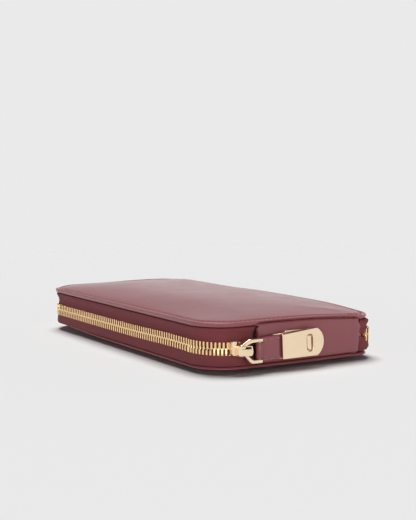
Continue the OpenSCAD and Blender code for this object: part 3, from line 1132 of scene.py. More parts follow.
@dataclass(frozen=True)
class Sag:
    """A place where the edge of a cover bends towards the other cover."""

    x: float
    y: float
    reach: float
    amount: float
    wall: bool = True
    loose: Flat = (2.0 * MM, 10.5 * MM)

    def at(self, x: float, y: float, depth: float) -> float:
        """How far the cover bends at a place, which is most of all at its edge.

        Args:
            x: Place along the wallet.
            y: Place across the wallet.
            depth: Its distance inside the edge.

        Returns:
            The distance.
        """
        start, end = self.loose
        share = 1 - ease((depth - start) / (end - start))
        return share * self.amount * math.exp(-((x - self.x) ** 2 + (y - self.y) ** 2) / self.reach ** 2)


TOP_SAGS = (
    Sag(98 * MM, 53 * MM, 30 * MM, 2.3 * MM, loose=(2.0 * MM, 40.0 * MM)),
    Sag(-62 * MM, 53 * MM, 36 * MM, 1.3 * MM),
    Sag(-98 * MM, 20 * MM, 24 * MM, -0.6 * MM),
    Sag(-93 * MM, -48 * MM, 8 * MM, 0.7 * MM),
)
BOTTOM_SAGS = (
    Sag(97 * MM, 8 * MM, 44 * MM, -0.6 * MM),
    Sag(-96 * MM, -50 * MM, 42 * MM, 2.2 * MM, wall=False),
)


@dataclass
class Cover:
    """Padded leather cover with a turned rim and an edge seam."""

    outline: Outline
    half: Half
    seam_z: float
    rise: float
    edge: float
    lift: float
    sags: tuple[Sag, ...]
    rim: float = 2.0 * MM
    # Strength of the paler crest on the rim: partly rubbed wear, partly a painted highlight.
    wear_and_highlight: float = 0.0
    back_dip: float = 0.0
    trim: float = 0.0
    end_trim: float = 0.0
    corner_out: float = 0.0
    lining_edge: float = 3.0 * MM
    lining: float = 0.48 * MM
    lining_gap: float = 0.05 * MM
    board: Flat = (0.52 * MM, 1.2 * MM)
    recess: float = 1.25 * MM
    inner_insets: tuple[float, ...] = (11 * MM, 7 * MM, 4.6 * MM)
    inner_shares: tuple[float, ...] = (0.98, 0.5, 0.0)
    seam_inset: float = 2.5 * MM
    seam_sunk: float = 0.16 * MM
    face_from: float = 4.0 * MM
    face_to: float = 18.0 * MM
    off_floor: Flat = (10 * MM, -70 * MM)
    off_share: float = 0.9
    ridge: Flat = (-7 * MM, -13 * MM)
    level_end: float = 0.45
    roundness: float = 1.75
    edge_rise: float = 0.35 * MM
    edge_run: float = 8 * MM
    face_step: float = 0.12 * MM
    panel: Flat = (-24 * MM, 40 * MM)
    panel_soft: float = 5 * MM

    def bent(self, x: float, y: float, wall: bool = False) -> float:
        """How far the cover bends towards the other one.

        Args:
            x: Place along the wallet.
            y: Place across the wallet.
            wall: Whether only the bends that the wall follows count.

        Returns:
            The distance.
        """
        depth = self.outline.depth(x, y)
        return sum(sag.at(x, y, depth) for sag in self.sags if sag.wall or not wall)

    def lifted(self, station: Station) -> float:
        """Share of the rim's near edge that is taken up by the end panel.

        Args:
            station: Place on the outline.

        Returns:
            The share.
        """
        run = station.run if station.run < self.outline.length / 2 else station.run - self.outline.length
        front, back = (self.outline.across(y) for y in self.panel)
        soft = self.panel_soft
        return ease((front + soft / 2 - run) / soft) * ease((run - back + soft / 2) / soft)

    def rim_profile(self, station: Station) -> list[Spot]:
        """Insets, heights and shares of wear and painted highlight of the rim, from the recess for the lining
        to the padded face.

        Args:
            station: Place on the outline.

        Returns:
            The inset, the height and the wear of each point.
        """
        low = self.edge + (self.lift - self.edge) * self.lifted(station)
        top = self.rim - self.back_dip * ease(2 * station.out.y)
        # The last number of each point is its share of rubbed wear and painted highlight, highest at the
        # crest.
        return [
            (self.lining_edge, self.recess, 0.0), (self.lining_edge, low, 0.0), (1.2 * MM, low, 0.0),
            (0.75 * MM, low + 0.1 * MM, 0.0), (0.42 * MM, low + 0.34 * MM, 0.0),
            (0.16 * MM, (low + top) / 2, 0.0), (0.02 * MM, top - 0.5 * MM, 0.1),
            (0.1 * MM, top - 0.22 * MM, 0.5), (0.34 * MM, top - 0.04 * MM, 1.0),
            (0.7 * MM, top + 0.02 * MM, 0.3), (1.5 * MM, top - 0.02 * MM, 0.0),
            (2.0 * MM, top - 0.14 * MM, 0.0), (self.seam_inset, top - 0.26 * MM, 0.0),
            (3.0 * MM, top - 0.1 * MM, 0.0), (self.face_from, self.rim + self.face_step, 0.0),
        ]

    def height(self, spot: Vector, depth: float) -> float:
        """Height of the padded face: a wide dome on top; below flat, and off the floor on the left.

        Args:
            spot: The place, seen from above.
            depth: Its distance inside the outline.

        Returns:
            The height from the seam outwards.
        """
        inside = max(depth - self.face_from, 0.0)
        foot = self.rim + self.face_step
        if self.half is Half.LOWER:
            share = math.sin(min(inside / (self.face_to - self.face_from), 1.0) * math.pi / 2)
            start, end = self.off_floor
            return foot + self.rise * share * (1 - self.off_share * ease((start - spot.x) / (start - end)))
        x, y = self.outline.half_length - self.face_from, self.outline.half_width - self.face_from
        off_x, off_y = (place - ridge for place, ridge in zip(spot, self.ridge))
        right, left = max(off_x, 0.0) / (x - self.ridge[0]), max(-off_x, 0.0) / (x + self.ridge[0])
        along = right ** 2 + self.level_end * (ease(right) - right ** 2) + left ** 6
        over = off_y / (y - self.ridge[1]) if off_y > 0 else -off_y / (y + self.ridge[1])
        dome = max(1 - along, 0.0) * max(1 - over ** self.roundness, 0.0)
        return foot + self.rise * dome + self.edge_rise * (1 - math.exp(-inside / self.edge_run))

    def at(self, station: Station, inset: float, height: float | None = None, share: float = 0.0) -> Vector:
        """Point of the cover.

        Args:
            station: Place on the outline.
            inset: Distance inside the edge of the cover.
            height: Height from the seam outwards, or that of the padded face.
            share: How far the point is drawn in to the middle line.

        Returns:
            The point, with the bends of the cover.
        """
        x, y = self.outline.flats
        middle = Vector((max(min(station.centre.x, x - y), y - x), 0.0))
        corner = ease(2 * min(station.out.x, station.out.y))
        trim = self.trim + self.end_trim * ease(-station.out.x) - self.corner_out * corner
        spot = self.outline.point(station, inset + trim, 0.0).to_2d().lerp(middle, share)
        if height is None:
            height = self.height(spot, self.outline.depth(spot.x, spot.y) - trim if share else inset)
        return Vector((spot.x, spot.y, self.seam_z + self.half.value * (height - self.bent(spot.x, spot.y))))

    @staticmethod
    def skin(rows: Sequence[Sequence[Vector]], worn: Sequence[float] = ()) -> Shape:
        """Skins rows that run once round the cover, and closes them in the middle."""
        shape = Shape().loft(rows, ring=True, tube=False, worn=worn)
        return shape.close([row[0] for row in rows]).close([row[-1] for row in rows])

    def leather(self, name: str, body: Body, *nodes: str) -> None:
        """Builds the cover as one closed leather piece.

        Args:
            name: Name of the piece.
            body: The body that carries it.
            nodes: The solids that it replaces.
        """
        slope = [self.face_from + (self.face_to - self.face_from) * k / 8 for k in range(1, 9)]
        shares = (0.08, 0.17, 0.27, 0.38, 0.5, 0.62, 0.74, 0.87, 0.98)
        rows = []
        for station in self.outline.all_round():
            row = [self.at(station, self.face_to, self.recess, share) for share in self.inner_shares]
            row += [self.at(station, inset, self.recess) for inset in self.inner_insets]
            row += [self.at(station, inset, height) for inset, height, _ in self.rim_profile(station)]
            row += [self.at(station, inset) for inset in slope]
            row += [self.at(station, self.face_to, share=share) for share in shares]
            rows.append(row)
        rim = [wear_and_highlight * self.wear_and_highlight for *_, wear_and_highlight in self.rim_profile(self.outline.station(0.0))]
        inner = len(self.inner_shares) + len(self.inner_insets)
        worn = [0.0] * inner + rim + [0.0] * (len(slope) + len(shares))
        self.skin(rows, worn).piece(name, COVER, body, *nodes, sharp=75)

    def layer(self, node: str, body: Body, finish: Finish, near: float, far: float) -> None:
        """Builds a thin layer inside the cover, which bends with it.

        Args:
            node: The solid that it replaces.
            body: The body that carries it.
            finish: Its finish.
            near: Height of its face towards the other cover, from the seam.
            far: Height of its hidden face.
        """
        line = [(self.face_to, share) for share in self.inner_shares]
        line += [(inset, 0.0) for inset in (*self.inner_insets, self.lining_edge + self.lining_gap)]
        rows = []
        for station in self.outline.all_round():
            row = [self.at(station, inset, near, share) for inset, share in line]
            rows.append(row + [self.at(station, inset, far, share) for inset, share in reversed(line)])
        self.skin(rows).piece(f"{node}_sheet", finish, body, node)

    def build(self, side: str, body: Body, stitching: Stitching) -> None:
        """Builds the leather, its seam, the board and the lining.

        Args:
            side: First part of the names.
            body: The body that carries it.
            stitching: Its thread.
        """
        self.leather(f"{side}_cover_leather", body, f"{side}_cover", f"{side}_pad")
        sunk = self.rim - self.seam_sunk
        seam = [self.at(station, self.seam_inset, sunk) for station in self.outline.all_round()]
        stitching.sew(f"{side}_cover", body, Slot.COVER, seam, closed=True)
        self.layer(f"{side}_board", body, FILLER, *self.board)
        self.layer(f"{side}_lining", body, LINING, 0.0, self.lining)


@dataclass
class ZipWall:
    """Zip tapes and teeth round three sides of the wallet, between the two covers."""

    top: Cover
    bottom: Cover
    zip_z: float
    row: Row
    front_y: float = -22.6 * MM
    back_y: float = 40.6 * MM
    back_inset: float = 2 * MM
    chain_from: float = 33 * MM
    chain_to: float = 3.4 * MM
    tape: float = 0.8 * MM
    tape_least: float = 1.2 * MM
    tape_edge: Flat = (1.5 * MM, 1.0 * MM)
    stop_bevel: float = 0.3 * MM
    line_inset: float = 2.05 * MM
    pitch: float = 2.45 * MM
    corner_pitch: float = 1.8 * MM
    tooth: Tooth = Tooth(width=1.0 * MM, deep=2.6 * MM, foot=3.4 * MM, head=0.4 * MM)
    dive: float = 2.6 * MM
    dive_run: float = 3.4 * MM
    bulge: float = 2.3 * MM
    bulge_turn: Flat = (24.0, 40.0)
    bulge_fade: float = 45 * MM
    steepness: Flat = (3.0, 6.0)
    swing: Spot = (0.7 * MM, 80 * MM, 28 * MM)
    bend_from: Spot = (97.5 * MM, 0, 14 * MM)
    bend_to: Spot = (88 * MM, 0, 22 * MM)

    @property
    def outline(self) -> Outline:
        """Outline of the covers."""
        return self.top.outline

    def ends(self) -> Flat:
        """Where the tapes start at the front of the end panel and end at its back."""
        back = self.outline.length + self.outline.across(self.back_y, self.back_inset)
        return self.outline.across(self.front_y), back

    def push(self, run: float) -> float:
        """How far the zip stands out: it dives in behind the panel's front and swells before its back.

        Args:
            run: Distance along the outline.

        Returns:
            The distance outwards.
        """
        left = self.outline.length - self.outline.flats[1] - run
        start, full = (math.radians(angle) * self.outline.corner for angle in self.bulge_turn)
        swell = ease((left - start) / (full - start)) * (1 - ease((left - full) / self.bulge_fade))
        sunk = 1 - clamp((run + self.front_y) / self.dive_run)
        return self.bulge * swell - self.dive * sunk ** 2

    def settle(self, point: Vector, run: float) -> Vector:
        """Moves a point of the wall with the bends of the covers and the swing of the zip.

        Args:
            point: The point.
            run: Distance along the outline.

        Returns:
            The moved point.
        """
        up, down = (clamp((point.z - self.zip_z) / (cover.seam_z - self.zip_z), 1.2)
                    for cover in (self.top, self.bottom))
        drop = self.top.bent(point.x, point.y, wall=True) * up
        drop -= self.bottom.bent(point.x, point.y, wall=True) * down
        amount, place, reach = self.swing
        swung = amount * math.exp(-((run - place) / reach) ** 2) * (1 - max(up, down))
        return point + Vector((0, 0, swung - drop))

    def section(self, half: Half) -> list[Flat]:
        """Insets and heights of the outer face of a tape, from its fold in the seam to the teeth.

        Args:
            half: The half of the zip.

        Returns:
            The insets and heights.
        """
        seam, line = self.top.seam_z, [
            (4.0, -0.7), (1.5, -0.7), (0.95, -0.85), (0.75, -1.2), (0.85, -1.8), (1.35, -2.8), (2.0, -4.2),
            (2.15, -5.4), (1.95, -6.9), (1.6, -8.4)]
        if half is Half.LOWER:
            seam, line = self.bottom.seam_z, [
                (4.0, -0.3), (1.7, -0.3), (1.25, -0.05), (1.1, 0.5), (1.05, 2.0), (1.3, 4.6)]
        made = [(inset, seam + z) for inset, z in in_mm(*line)]
        return made + [(self.tape_edge[0], self.zip_z + half.value * self.tape_edge[1])]

    def rows(self, half: Half) -> list[list[Vector]]:
        """Rows of points of a tape, each a closed section.

        Args:
            half: The half of the zip.

        Returns:
            The rows.
        """
        outer = self.section(half)
        seam, edge = outer[0][1], outer[-1][1]
        made = []
        for station in self.outline.stations(*self.ends()):
            push = self.push(station.run)
            line = []
            for inset, z in outer:
                share = ease(self.steepness[push > 0] * (z - seam) / (edge - seam))
                line.append((inset - push * share, z))
            line += [(max(inset, self.tape_least) + self.tape, z) for inset, z in reversed(line[1:])]
            points = [self.outline.point(station, inset, z) for inset, z in line]
            made.append([self.settle(point, station.run) for point in points])
        return made

    def chain(self, start: float, end: float) -> list[Vector]:
        """Path of the middle of the zip between two distances along the outline.

        Args:
            start: First distance.
            end: Last distance.

        Returns:
            The path.
        """
        path = []
        for station in self.outline.stations(start, end):
            point = self.outline.point(station, self.line_inset - self.push(station.run), self.zip_z)
            path.append(self.settle(point, station.run))
        return path

    def dress(self, half: Half, obj: bpy.types.Object, slot: Slot) -> None:
        """Lets a lower tape or row of teeth ride on the base; an upper one keeps its baked placement and is
        labelled.

        Args:
            half: The half of the zip.
            obj: The piece.
            slot: Its material slot.
        """
        node = f"{slot.value}_{half.name.lower()}"
        if half is Half.LOWER:
            ride_piece(obj, Body.BASE, slot, node)
        else:
            bend_piece(obj, slot, self.bend_from, self.bend_to, node, f"{node}_ends")

    def build(self) -> None:
        """Builds both tapes, both rows of teeth, which are closer round the corner, and the end stop."""
        corner_end = self.outline.flats[1] + math.pi / 2 * self.outline.corner
        parts = (("corner", self.chain_from, corner_end, self.corner_pitch),
                 ("row", corner_end + self.corner_pitch / 2, self.ends()[1] - self.chain_to, self.pitch))
        for half in Half:
            tape = Shape().loft(self.rows(half)).make(f"zip_tape_{half.name.lower()}_twill", TAPE, sharp=75)
            self.dress(half, tape, Slot.TAPE)
        for half in Half:
            name = half.name.lower()
            for part, start, end, pitch in parts:
                shape = self.tooth.shape(Matrix.Diagonal((1, 1, half.value, 1)))
                skip = pitch / 2 if half is Half.UPPER else 0.0
                path = self.chain(start, end)
                teeth = self.row.make(f"zip_teeth_{name}_{part}", [path], shape, TEETH, pitch, skip=skip)
                self.dress(half, teeth, Slot.TEETH)
        stop = Shape().bevelled("zip_end_stop", self.stop_bevel)
        stop.piece("zip_end_stop_bar", TEETH, Body.BASE, "zip_end_stop", sharp=40)


@dataclass
class EndPanel:
    """Leather panel over the right end, with turned edges, and the soft fold behind it."""

    wall: ZipWall
    below: float = 0.1 * MM
    above: float = 0.35 * MM
    front_y: float = -22.5 * MM
    flare: float = 2.8 * MM
    flare_from: float = 3.4 * MM
    back_y: float = 43.8 * MM
    inset: float = 1.3 * MM
    thickness: float = 1.6 * MM
    roll: float = 0.9 * MM
    seam_in: float = 1.7 * MM
    seam_hem: float = 1.5 * MM
    seam_sunk: float = 0.6
    pucker: float = 0.25 * MM
    pucker_run: float = 1.6 * MM
    waves: Flat = (0.7, 0.3)
    wave_count: int = 5
    lean: float = 0.2 * MM
    lean_from: float = 0.68
    card_t: float = 0.5 * MM
    card_back: float = 5 * MM
    card_corner: float = 2 * MM
    card_bevel: float = 0.1 * MM
    lining_bevel: float = 0.12 * MM
    lining_front: float = 1 * MM
    lining_back: float = 3.0 * MM
    fold_inset: float = 5.25 * MM
    fold_past: Flat = (1.5 * MM, 2.7 * MM)
    fold_reach: float = 4.0 * MM
    fold_t: float = 0.3 * MM
    fold_foot: float = 4.55 * MM
    fold_top: float = 23.45 * MM
    fold_turn: Flat = (18.5 * MM, 21.3 * MM)
    fold_steps: int = 60

    @property
    def heights(self) -> Flat:
        """Lower and upper edge of the panel, behind the rims."""
        return self.wall.bottom.seam_z - self.below, self.wall.top.seam_z + self.above

    def face(self, run: float, share: float, start: float, end: float) -> float:
        """Inset of the outer face at a place of the panel.

        Args:
            run: Distance along the outline.
            share: Share of the panel's height.
            start: Where the panel starts at this height.
            end: Where it ends.

        Returns:
            The inset.
        """
        bottom, top = self.heights
        rolled = 0.0
        for near in (min(abs(run - start), abs(run - end)), (top - bottom) * min(share, 1 - share)):
            if near < self.roll:
                rolled = max(rolled, self.roll - math.sqrt(self.roll ** 2 - (self.roll - near) ** 2))
        drawn = self.pucker * math.exp(-((run - end - self.seam_in) / self.pucker_run) ** 2)
        waves = self.waves[0] + self.waves[1] * math.cos(share * self.wave_count * math.tau)
        lean = self.lean * (max(share - self.lean_from, 0.0) / (1 - self.lean_from)) ** 2
        return self.inset + rolled + lean + drawn * waves

    def point(self, run: float, inset: float, z: float) -> Vector:
        """Point of the panel, which follows the covers."""
        outline = self.wall.outline
        return self.wall.settle(outline.point(outline.station(run), inset, z), run)

    def rows(self) -> list[list[Vector]]:
        """Rows of points of the panel, each a closed section from the bottom up and down again.

        Returns:
            The rows.
        """
        outline = self.wall.outline
        bottom, top = self.heights
        near = [0.0, 0.12, 0.35, 0.6, 0.85, 1.0]
        stops = [("front", share) for share in near] + [("whole", k / 80) for k in range(1, 80)]
        stops += [("back", share) for share in reversed(near)]
        edge = [0.0, 0.004, 0.012, 0.024, 0.045]
        levels = edge + [k / 20 for k in range(2, 19)] + [1 - share for share in reversed(edge)]
        end = outline.across(self.back_y, self.inset)
        rows = []
        for kind, share in stops:
            outer, inner = [], []
            for h in levels:
                z = bottom + (top - bottom) * h
                reach = max(z - (top - self.flare_from - self.flare), 0.0) / (self.flare_from + self.flare)
                start = outline.across(self.front_y - self.flare * reach ** 2)
                if kind == "front":
                    run = start - self.roll * share
                elif kind == "back":
                    run = end + self.roll * share
                else:
                    run = (start - self.roll) * (1 - share) + (end + self.roll) * share
                outer.append(self.point(run, self.face(run, h, start, end), z))
                inner.append(self.point(run, self.inset + self.thickness, z))
            rows.append(outer + inner[::-1])
        return rows

    def fold(self) -> None:
        """Builds the soft lining behind the panel, which folds over under the lid."""
        outline = self.wall.outline
        start = outline.across(self.front_y - self.fold_past[0])
        end = outline.across(self.back_y + self.fold_past[1], self.inset)
        near, far, top, thick = self.fold_inset, self.fold_inset + self.fold_reach, self.fold_top, self.fold_t
        line = [(near, self.fold_foot)] + [(near, top - drop * MM) for drop in (8.0, 5.0, 4.0, 3.0, 2.0, 1.2)]
        line += [(near + 0.35 * MM, top - 0.4 * MM), (near + 1.1 * MM, top), (far, top)]
        line += [(far, top - thick), (near + 1.2 * MM, top - thick), (near + 0.6 * MM, top - 0.6 * MM)]
        line += [(near + thick, top - drop * MM) for drop in (1.3, 2.0, 3.0, 4.0, 5.0, 8.0)]
        line += [(near + thick, self.fold_foot)]
        runs = [start + (end - start) * k / self.fold_steps for k in range(self.fold_steps + 1)]
        rows = [[self.point(run, *spot) for spot in line] for run in runs]
        made = Shape().loft(rows).make("end_panel_fold", INNER, sharp=75)
        bend_piece(made, Slot.INNER, (0, 0, self.fold_turn[0]), (0, 0, self.fold_turn[1]))

    def build(self, stitching: Stitching) -> None:
        """Builds the fold, the panel, the seam along its back edge, the card and the lining.

        Args:
            stitching: Its thread.
        """
        self.fold()
        Shape().loft(self.rows()).piece("end_panel_leather", COVER, Body.BASE, "end_panel", sharp=60)
        run = self.wall.outline.across(self.back_y, self.inset) + self.seam_in
        bottom, top = self.heights[0] + self.seam_hem, self.heights[1] - self.seam_hem
        heights = [bottom + (top - bottom) * k / 20 for k in range(21)]
        seam = [self.point(run, self.inset + self.seam_sunk * self.pucker, z) for z in heights]
        stitching.sew("end_panel", Body.BASE, Slot.COVER, seam)
        low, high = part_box("end_panel_stiffener")
        size, middle = high - low, (low + high) / 2
        place = (middle.y + self.card_back / 2, middle.z)
        card = rounded_box(size.y - self.card_back, size.z, self.card_corner, place)
        shape = Shape().plate([card], self.card_t, self.card_bevel, outwards(low.x))
        shape.piece("end_panel_card", FILLER, Body.BASE, "end_panel_stiffener", sharp=40)
        shape = Shape().bevelled("end_panel_lining", self.lining_bevel)
        lining = shape.piece("end_panel_lining_cloth", LINING, Body.BASE, "end_panel_lining")
        for vertex in lining.data.vertices:
            if vertex.co.y < self.front_y + self.lining_front:
                vertex.co.y += self.lining_back


@dataclass
class Pull:
    """Slider with its forked yoke, the leather tab, the lock plate and the keeper."""

    yoke_x: float = 98.6 * MM
    yoke_t: float = 2.4 * MM
    yoke_round: float = 0.8 * MM
    yoke_bevel: float = 0.5 * MM
    heel_x: float = 96.8 * MM
    heel_round: float = 0.5 * MM
    heel_bevel: float = 0.3 * MM
    slider_round: float = 0.7 * MM
    slot_round: float = 0.2 * MM
    pin_bevel: float = 0.1 * MM
    pin_z: Flat = (9.9 * MM, 14.8 * MM)
    tab_tilt: float = 2.6
    bar: Flat = (-24.5 * MM, 11.5 * MM)
    bar_x: float = 99.9 * MM
    bar_r: float = 0.8 * MM
    bar_play: float = 0.05 * MM
    loop: float = 1.0 * MM
    loop_round: float = 0.2 * MM
    loop_steps: int = 24
    tab_x: float = 97.7 * MM
    tab_t: float = 2.0 * MM
    tab_w: float = 12.2 * MM
    tab_end: float = 26 * MM
    tab_bevel: float = 0.45 * MM
    tab_round: float = 0.6 * MM
    skived_t: float = 0.9 * MM
    skived_in: float = 0.2 * MM
    skived_back: float = 0.05 * MM
    skived_lap: float = 2 * MM
    skived_bevel: float = 0.2 * MM
    strap_end: float = 12.35 * MM
    shoulder: float = 2.3 * MM
    neck_w: float = 7.8 * MM
    seam_in: float = 1.3 * MM
    seam_stops: tuple[float, ...] = (3.6 * MM, 6.0 * MM, 9.0 * MM, 11.6 * MM)
    plate_t: float = 1.2 * MM
    plate_bevel: float = 0.28 * MM
    plate_round: float = 0.5 * MM
    latch_bevel: float = 0.2 * MM
    plate_from: float = 13.4 * MM
    plate_l: float = 25.6 * MM
    plate_w: float = 14.4 * MM
    plate_small_w: float = 12.6 * MM
    plate_bow: float = 4.2 * MM
    slot_u: float = 30.25 * MM
    slot_l: float = 8.7 * MM
    slot_w: float = 3.9 * MM

    def along_tab(self, x: float) -> Matrix:
        """Places a plate drawn along the tab from its bar."""
        turn = Matrix.Rotation(math.radians(self.tab_tilt), 4, "X")
        return Matrix.Translation((0, *self.bar)) @ turn @ outwards(x)

    def slider(self) -> None:
        """Builds the slider: a wing behind the tape, a web, a face, an end bar and a bridge over the pin."""
        bar = in_mm((-39.3, 10.0), (-39.3, 17.0), (-36.8, 17.1), (-36.8, 9.7))
        face = in_mm((-37.6, 9.7), (-37.6, 15.2), (-29.4, 14.9), (-28.3, 13.9), (-28.3, 9.6), (-29.4, 8.6),
                     (-33.0, 8.6))
        bridge = in_mm((-37.3, 14.9), (-29.3, 14.5), (-28.7, 11.3), (-29.3, 9.5), (-30.8, 9.4), (-37.3, 9.9))
        slot = in_mm((-35.3, 14.15), (-35.3, 13.25), (-29.9, 12.95), (-29.9, 13.85))
        web = in_mm((-37.0, 12.2), (-37.0, 13.0), (-30.0, 13.0), (-30.0, 12.2))
        plates = (([bar], 93.6, 99.0, 0.3), ([face, slot], 94.6, 98.35, 0.35), ([face], 91.8, 93.0, 0.3),
                  ([web], 92.8, 95.0, 0.1), ([bridge, slot], 98.2, 101.2, 0.22))
        shape = Shape()
        for outlines, near, far, bevel in plates:
            rounded = [fillet(line, self.slot_round if line in (slot, web) else self.slider_round)
                       for line in outlines]
            shape.plate(rounded, (far - near) * MM, bevel * MM, outwards(near * MM))
        shape.piece("zip_slider_body", GOLD, Body.SLIDER, "zip_slider")
        low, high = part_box("yoke_pin")
        start, end = self.pin_z
        place = Matrix.Translation(((low.x + high.x) / 2, (low.y + high.y) / 2, start))
        pin = Shape().plate([oblong(high.y - low.y, high.y - low.y, 0.0)], end - start, self.pin_bevel, place)
        pin.piece("yoke_pin_rod", GOLD, Body.SLIDER, "yoke_pin")

    def yoke(self) -> None:
        """Builds the yoke, a stem with two arms, with a deep heel behind its upper arm."""
        fork = in_mm(
            (-36.9, 14.6), (-35.4, 15.1), (-31.6, 17.3), (-30.4, 17.75), (-22.9, 17.75), (-22.9, 15.7),
            (-29.6, 15.6), (-31.9, 14.7), (-33.2, 13.6), (-33.2, 11.2), (-32.2, 10.4), (-29.6, 8.0),
            (-28.4, 7.35), (-22.9, 7.35), (-22.9, 5.25), (-29.2, 5.25), (-30.6, 6.0), (-33.4, 9.4),
            (-34.6, 9.9), (-36.9, 9.9))
        heel = in_mm((-35.6, 14.95), (-31.6, 17.25), (-30.4, 17.7), (-29.4, 17.7), (-30.4, 16.3),
                     (-34.4, 14.2))
        fork = fillet(fork, self.yoke_round)
        shape = Shape().plate([fork], self.yoke_t, self.yoke_bevel, outwards(self.yoke_x))
        shape.plate([fillet(heel, self.heel_round)], self.yoke_x + self.yoke_t / 2 - self.heel_x,
                    self.heel_bevel, outwards(self.heel_x))
        shape.piece("pull_yoke_fork", GOLD, Body.YOKE, "pull_yoke")

    def strap_outline(self) -> list[Flat]:
        """Outline of the tab: a neck between the arms of the yoke, shoulders and a strap.

        Returns:
            The outline.
        """
        neck, half = self.neck_w / 2, self.tab_w / 2
        side = [(0.0, neck), (self.shoulder, neck), (self.shoulder, half), (self.strap_end, half)]
        return fillet([(u, -v) for u, v in side] + side[::-1], self.tab_round)

    def tab_sleeve(self) -> list[list[Vector]]:
        """Rows of the leather loop round the bar of the yoke.

        Returns:
            The rows.
        """
        inner = self.bar_r + self.bar_play
        outer = inner + self.loop
        line = ((outer, -0.94), (outer, 0.94), (outer - self.loop_round, 1.0), (inner, 1.0), (inner, -1.0),
                (outer - self.loop_round, -1.0))
        rows = []
        for k in range(self.loop_steps):
            angle = math.tau * k / self.loop_steps
            out, along = math.cos(angle), math.sin(angle)
            rows.append([Vector((self.bar_x + out * radius, self.bar[0] + along * radius,
                                 self.bar[1] + end * self.neck_w / 2)) for radius, end in line])
        return rows

    def tab(self, stitching: Stitching) -> None:
        """Builds the leather tab, thinned where it goes under the lock plate, with its seams.

        Args:
            stitching: Its thread.
        """
        shape = Shape().plate([self.strap_outline()], self.tab_t, self.tab_bevel, self.along_tab(self.tab_x))
        middle = (self.strap_end + self.tab_end - self.skived_lap) / 2
        length = self.tab_end - self.strap_end + self.skived_lap
        thin = rounded_box(length, self.tab_w - 2 * self.skived_in, self.tab_round, (middle, 0.0))
        shape.plate([thin], self.skived_t, self.skived_bevel, self.along_tab(self.tab_x + self.skived_back))
        shape.loft(self.tab_sleeve(), ring=True)
        shape.piece("pull_tab_leather", COVER, Body.TAB, "pull_tab")
        place = self.along_tab(self.tab_x + self.tab_t + ABOVE)
        edge = self.tab_w / 2 - self.seam_in
        seams = [[place @ Vector((u, v, 0)) for u in self.seam_stops] for v in (-edge, edge)]
        stitching.sew("pull_tab", Body.TAB, Slot.COVER, *seams)

    def plate_outline(self) -> list[Flat]:
        """Outline of the lock plate along the tab: straight at the tab, bowed at its free end.

        Returns:
            The outline.
        """
        half, small = self.plate_w / 2, self.plate_small_w / 2
        end = self.plate_from + self.plate_l
        radius = (half ** 2 + self.plate_bow ** 2) / (2 * self.plate_bow)
        spread = math.asin(half / radius)
        angles = [spread * (2 * k / 16 - 1) for k in range(17)]
        arc = [(end - radius + radius * math.cos(angle), radius * math.sin(angle)) for angle in angles]
        straight = [(self.plate_from, small), (self.plate_from, -small), arc[0], arc[-1]]
        return fillet(straight, self.plate_round)[:10] + arc

    def build(self, stitching: Stitching) -> None:
        """Builds all pieces of the pull and its latch.

        Args:
            stitching: Its thread.
        """
        self.slider()
        self.yoke()
        self.tab(stitching)
        slot = oblong(self.slot_l, self.slot_w, self.slot_u)
        lock = Shape().plate([self.plate_outline(), slot], self.plate_t, self.plate_bevel,
                             self.along_tab(self.tab_x + self.tab_t))
        lock.piece("lock_plate_face", GOLD, Body.TAB, "lock_plate")
        for node, name, body in (("lock_plate_back", "lock_plate_leaf", Body.TAB),
                                 ("keeper_plate", "keeper_plate_face", Body.BASE),
                                 ("keeper_post", "keeper_post_stud", Body.BASE)):
            Shape().bevelled(node, self.latch_bevel).piece(name, GOLD, body, node)


@dataclass
class CardPockets:
    """Stepped card pockets on the inside of one cover, with turned mouths."""

    half: Half
    body: Body
    steps: int = 4
    corner: float = 4 * MM
    mouth: float = 2.4 * MM
    mouth_t: float = 0.3 * MM
    mouth_in: float = 0.1 * MM
    mouth_short: float = 1.2
    mouth_corner: float = 1 * MM
    mouth_bevel: float = 0.12 * MM
    mouth_seam: float = 0.6 * MM
    bevel: float = 0.2 * MM
    seam_in: float = 1.5 * MM
    seam_gaps: Flat = (1 * MM, 0.5 * MM)

    def build(self, stitching: Stitching) -> None:
        """Builds the pockets, then the seams of their mouths, of their middle and of their sides.

        Args:
            stitching: Its thread.
        """
        lower = self.half is Half.LOWER
        group = f"card_pocket_{self.half.name.lower()}"
        boxes = [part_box(f"{group}_{k + 1}") for k in range(self.steps)]
        backs = [low.y for low, _ in boxes[1:]] + [boxes[-1][1].y - self.seam_in]
        seams = []
        for k, ((low, high), back) in enumerate(zip(boxes, backs)):
            size, middle = high - low, (low + high) / 2
            pocket = rounded_box(size.x, size.y, self.corner, middle)
            shape = Shape().plate([pocket], size.z, self.bevel, level(low.z))
            face = high.z - self.mouth_in if lower else low.z + self.mouth_in - self.mouth_t
            front = (middle.x, low.y + self.mouth / 2)
            lip = rounded_box(size.x - self.mouth_short * self.corner, self.mouth, self.mouth_corner, front)
            shape.plate([lip], self.mouth_t, self.mouth_bevel, level(face))
            shape.piece(f"{group}_{k + 1}_leather", INNER, self.body, f"{group}_{k + 1}")
            skin = high.z + ABOVE if lower else low.z - ABOVE
            front, side = low.y + self.mouth + self.mouth_seam, size.x / 2 - self.seam_in
            lines = [((-side + self.corner, front), (side - self.corner, front))]
            start, end = front + self.seam_gaps[0], back - self.seam_gaps[1]
            lines += [((x, start), (x, end)) for x in (0.0, -side, side)]
            seams += [[Vector((*spot, skin)) for spot in line] for line in lines]
        stitching.sew(group, self.body, Slot.INNER, *seams)


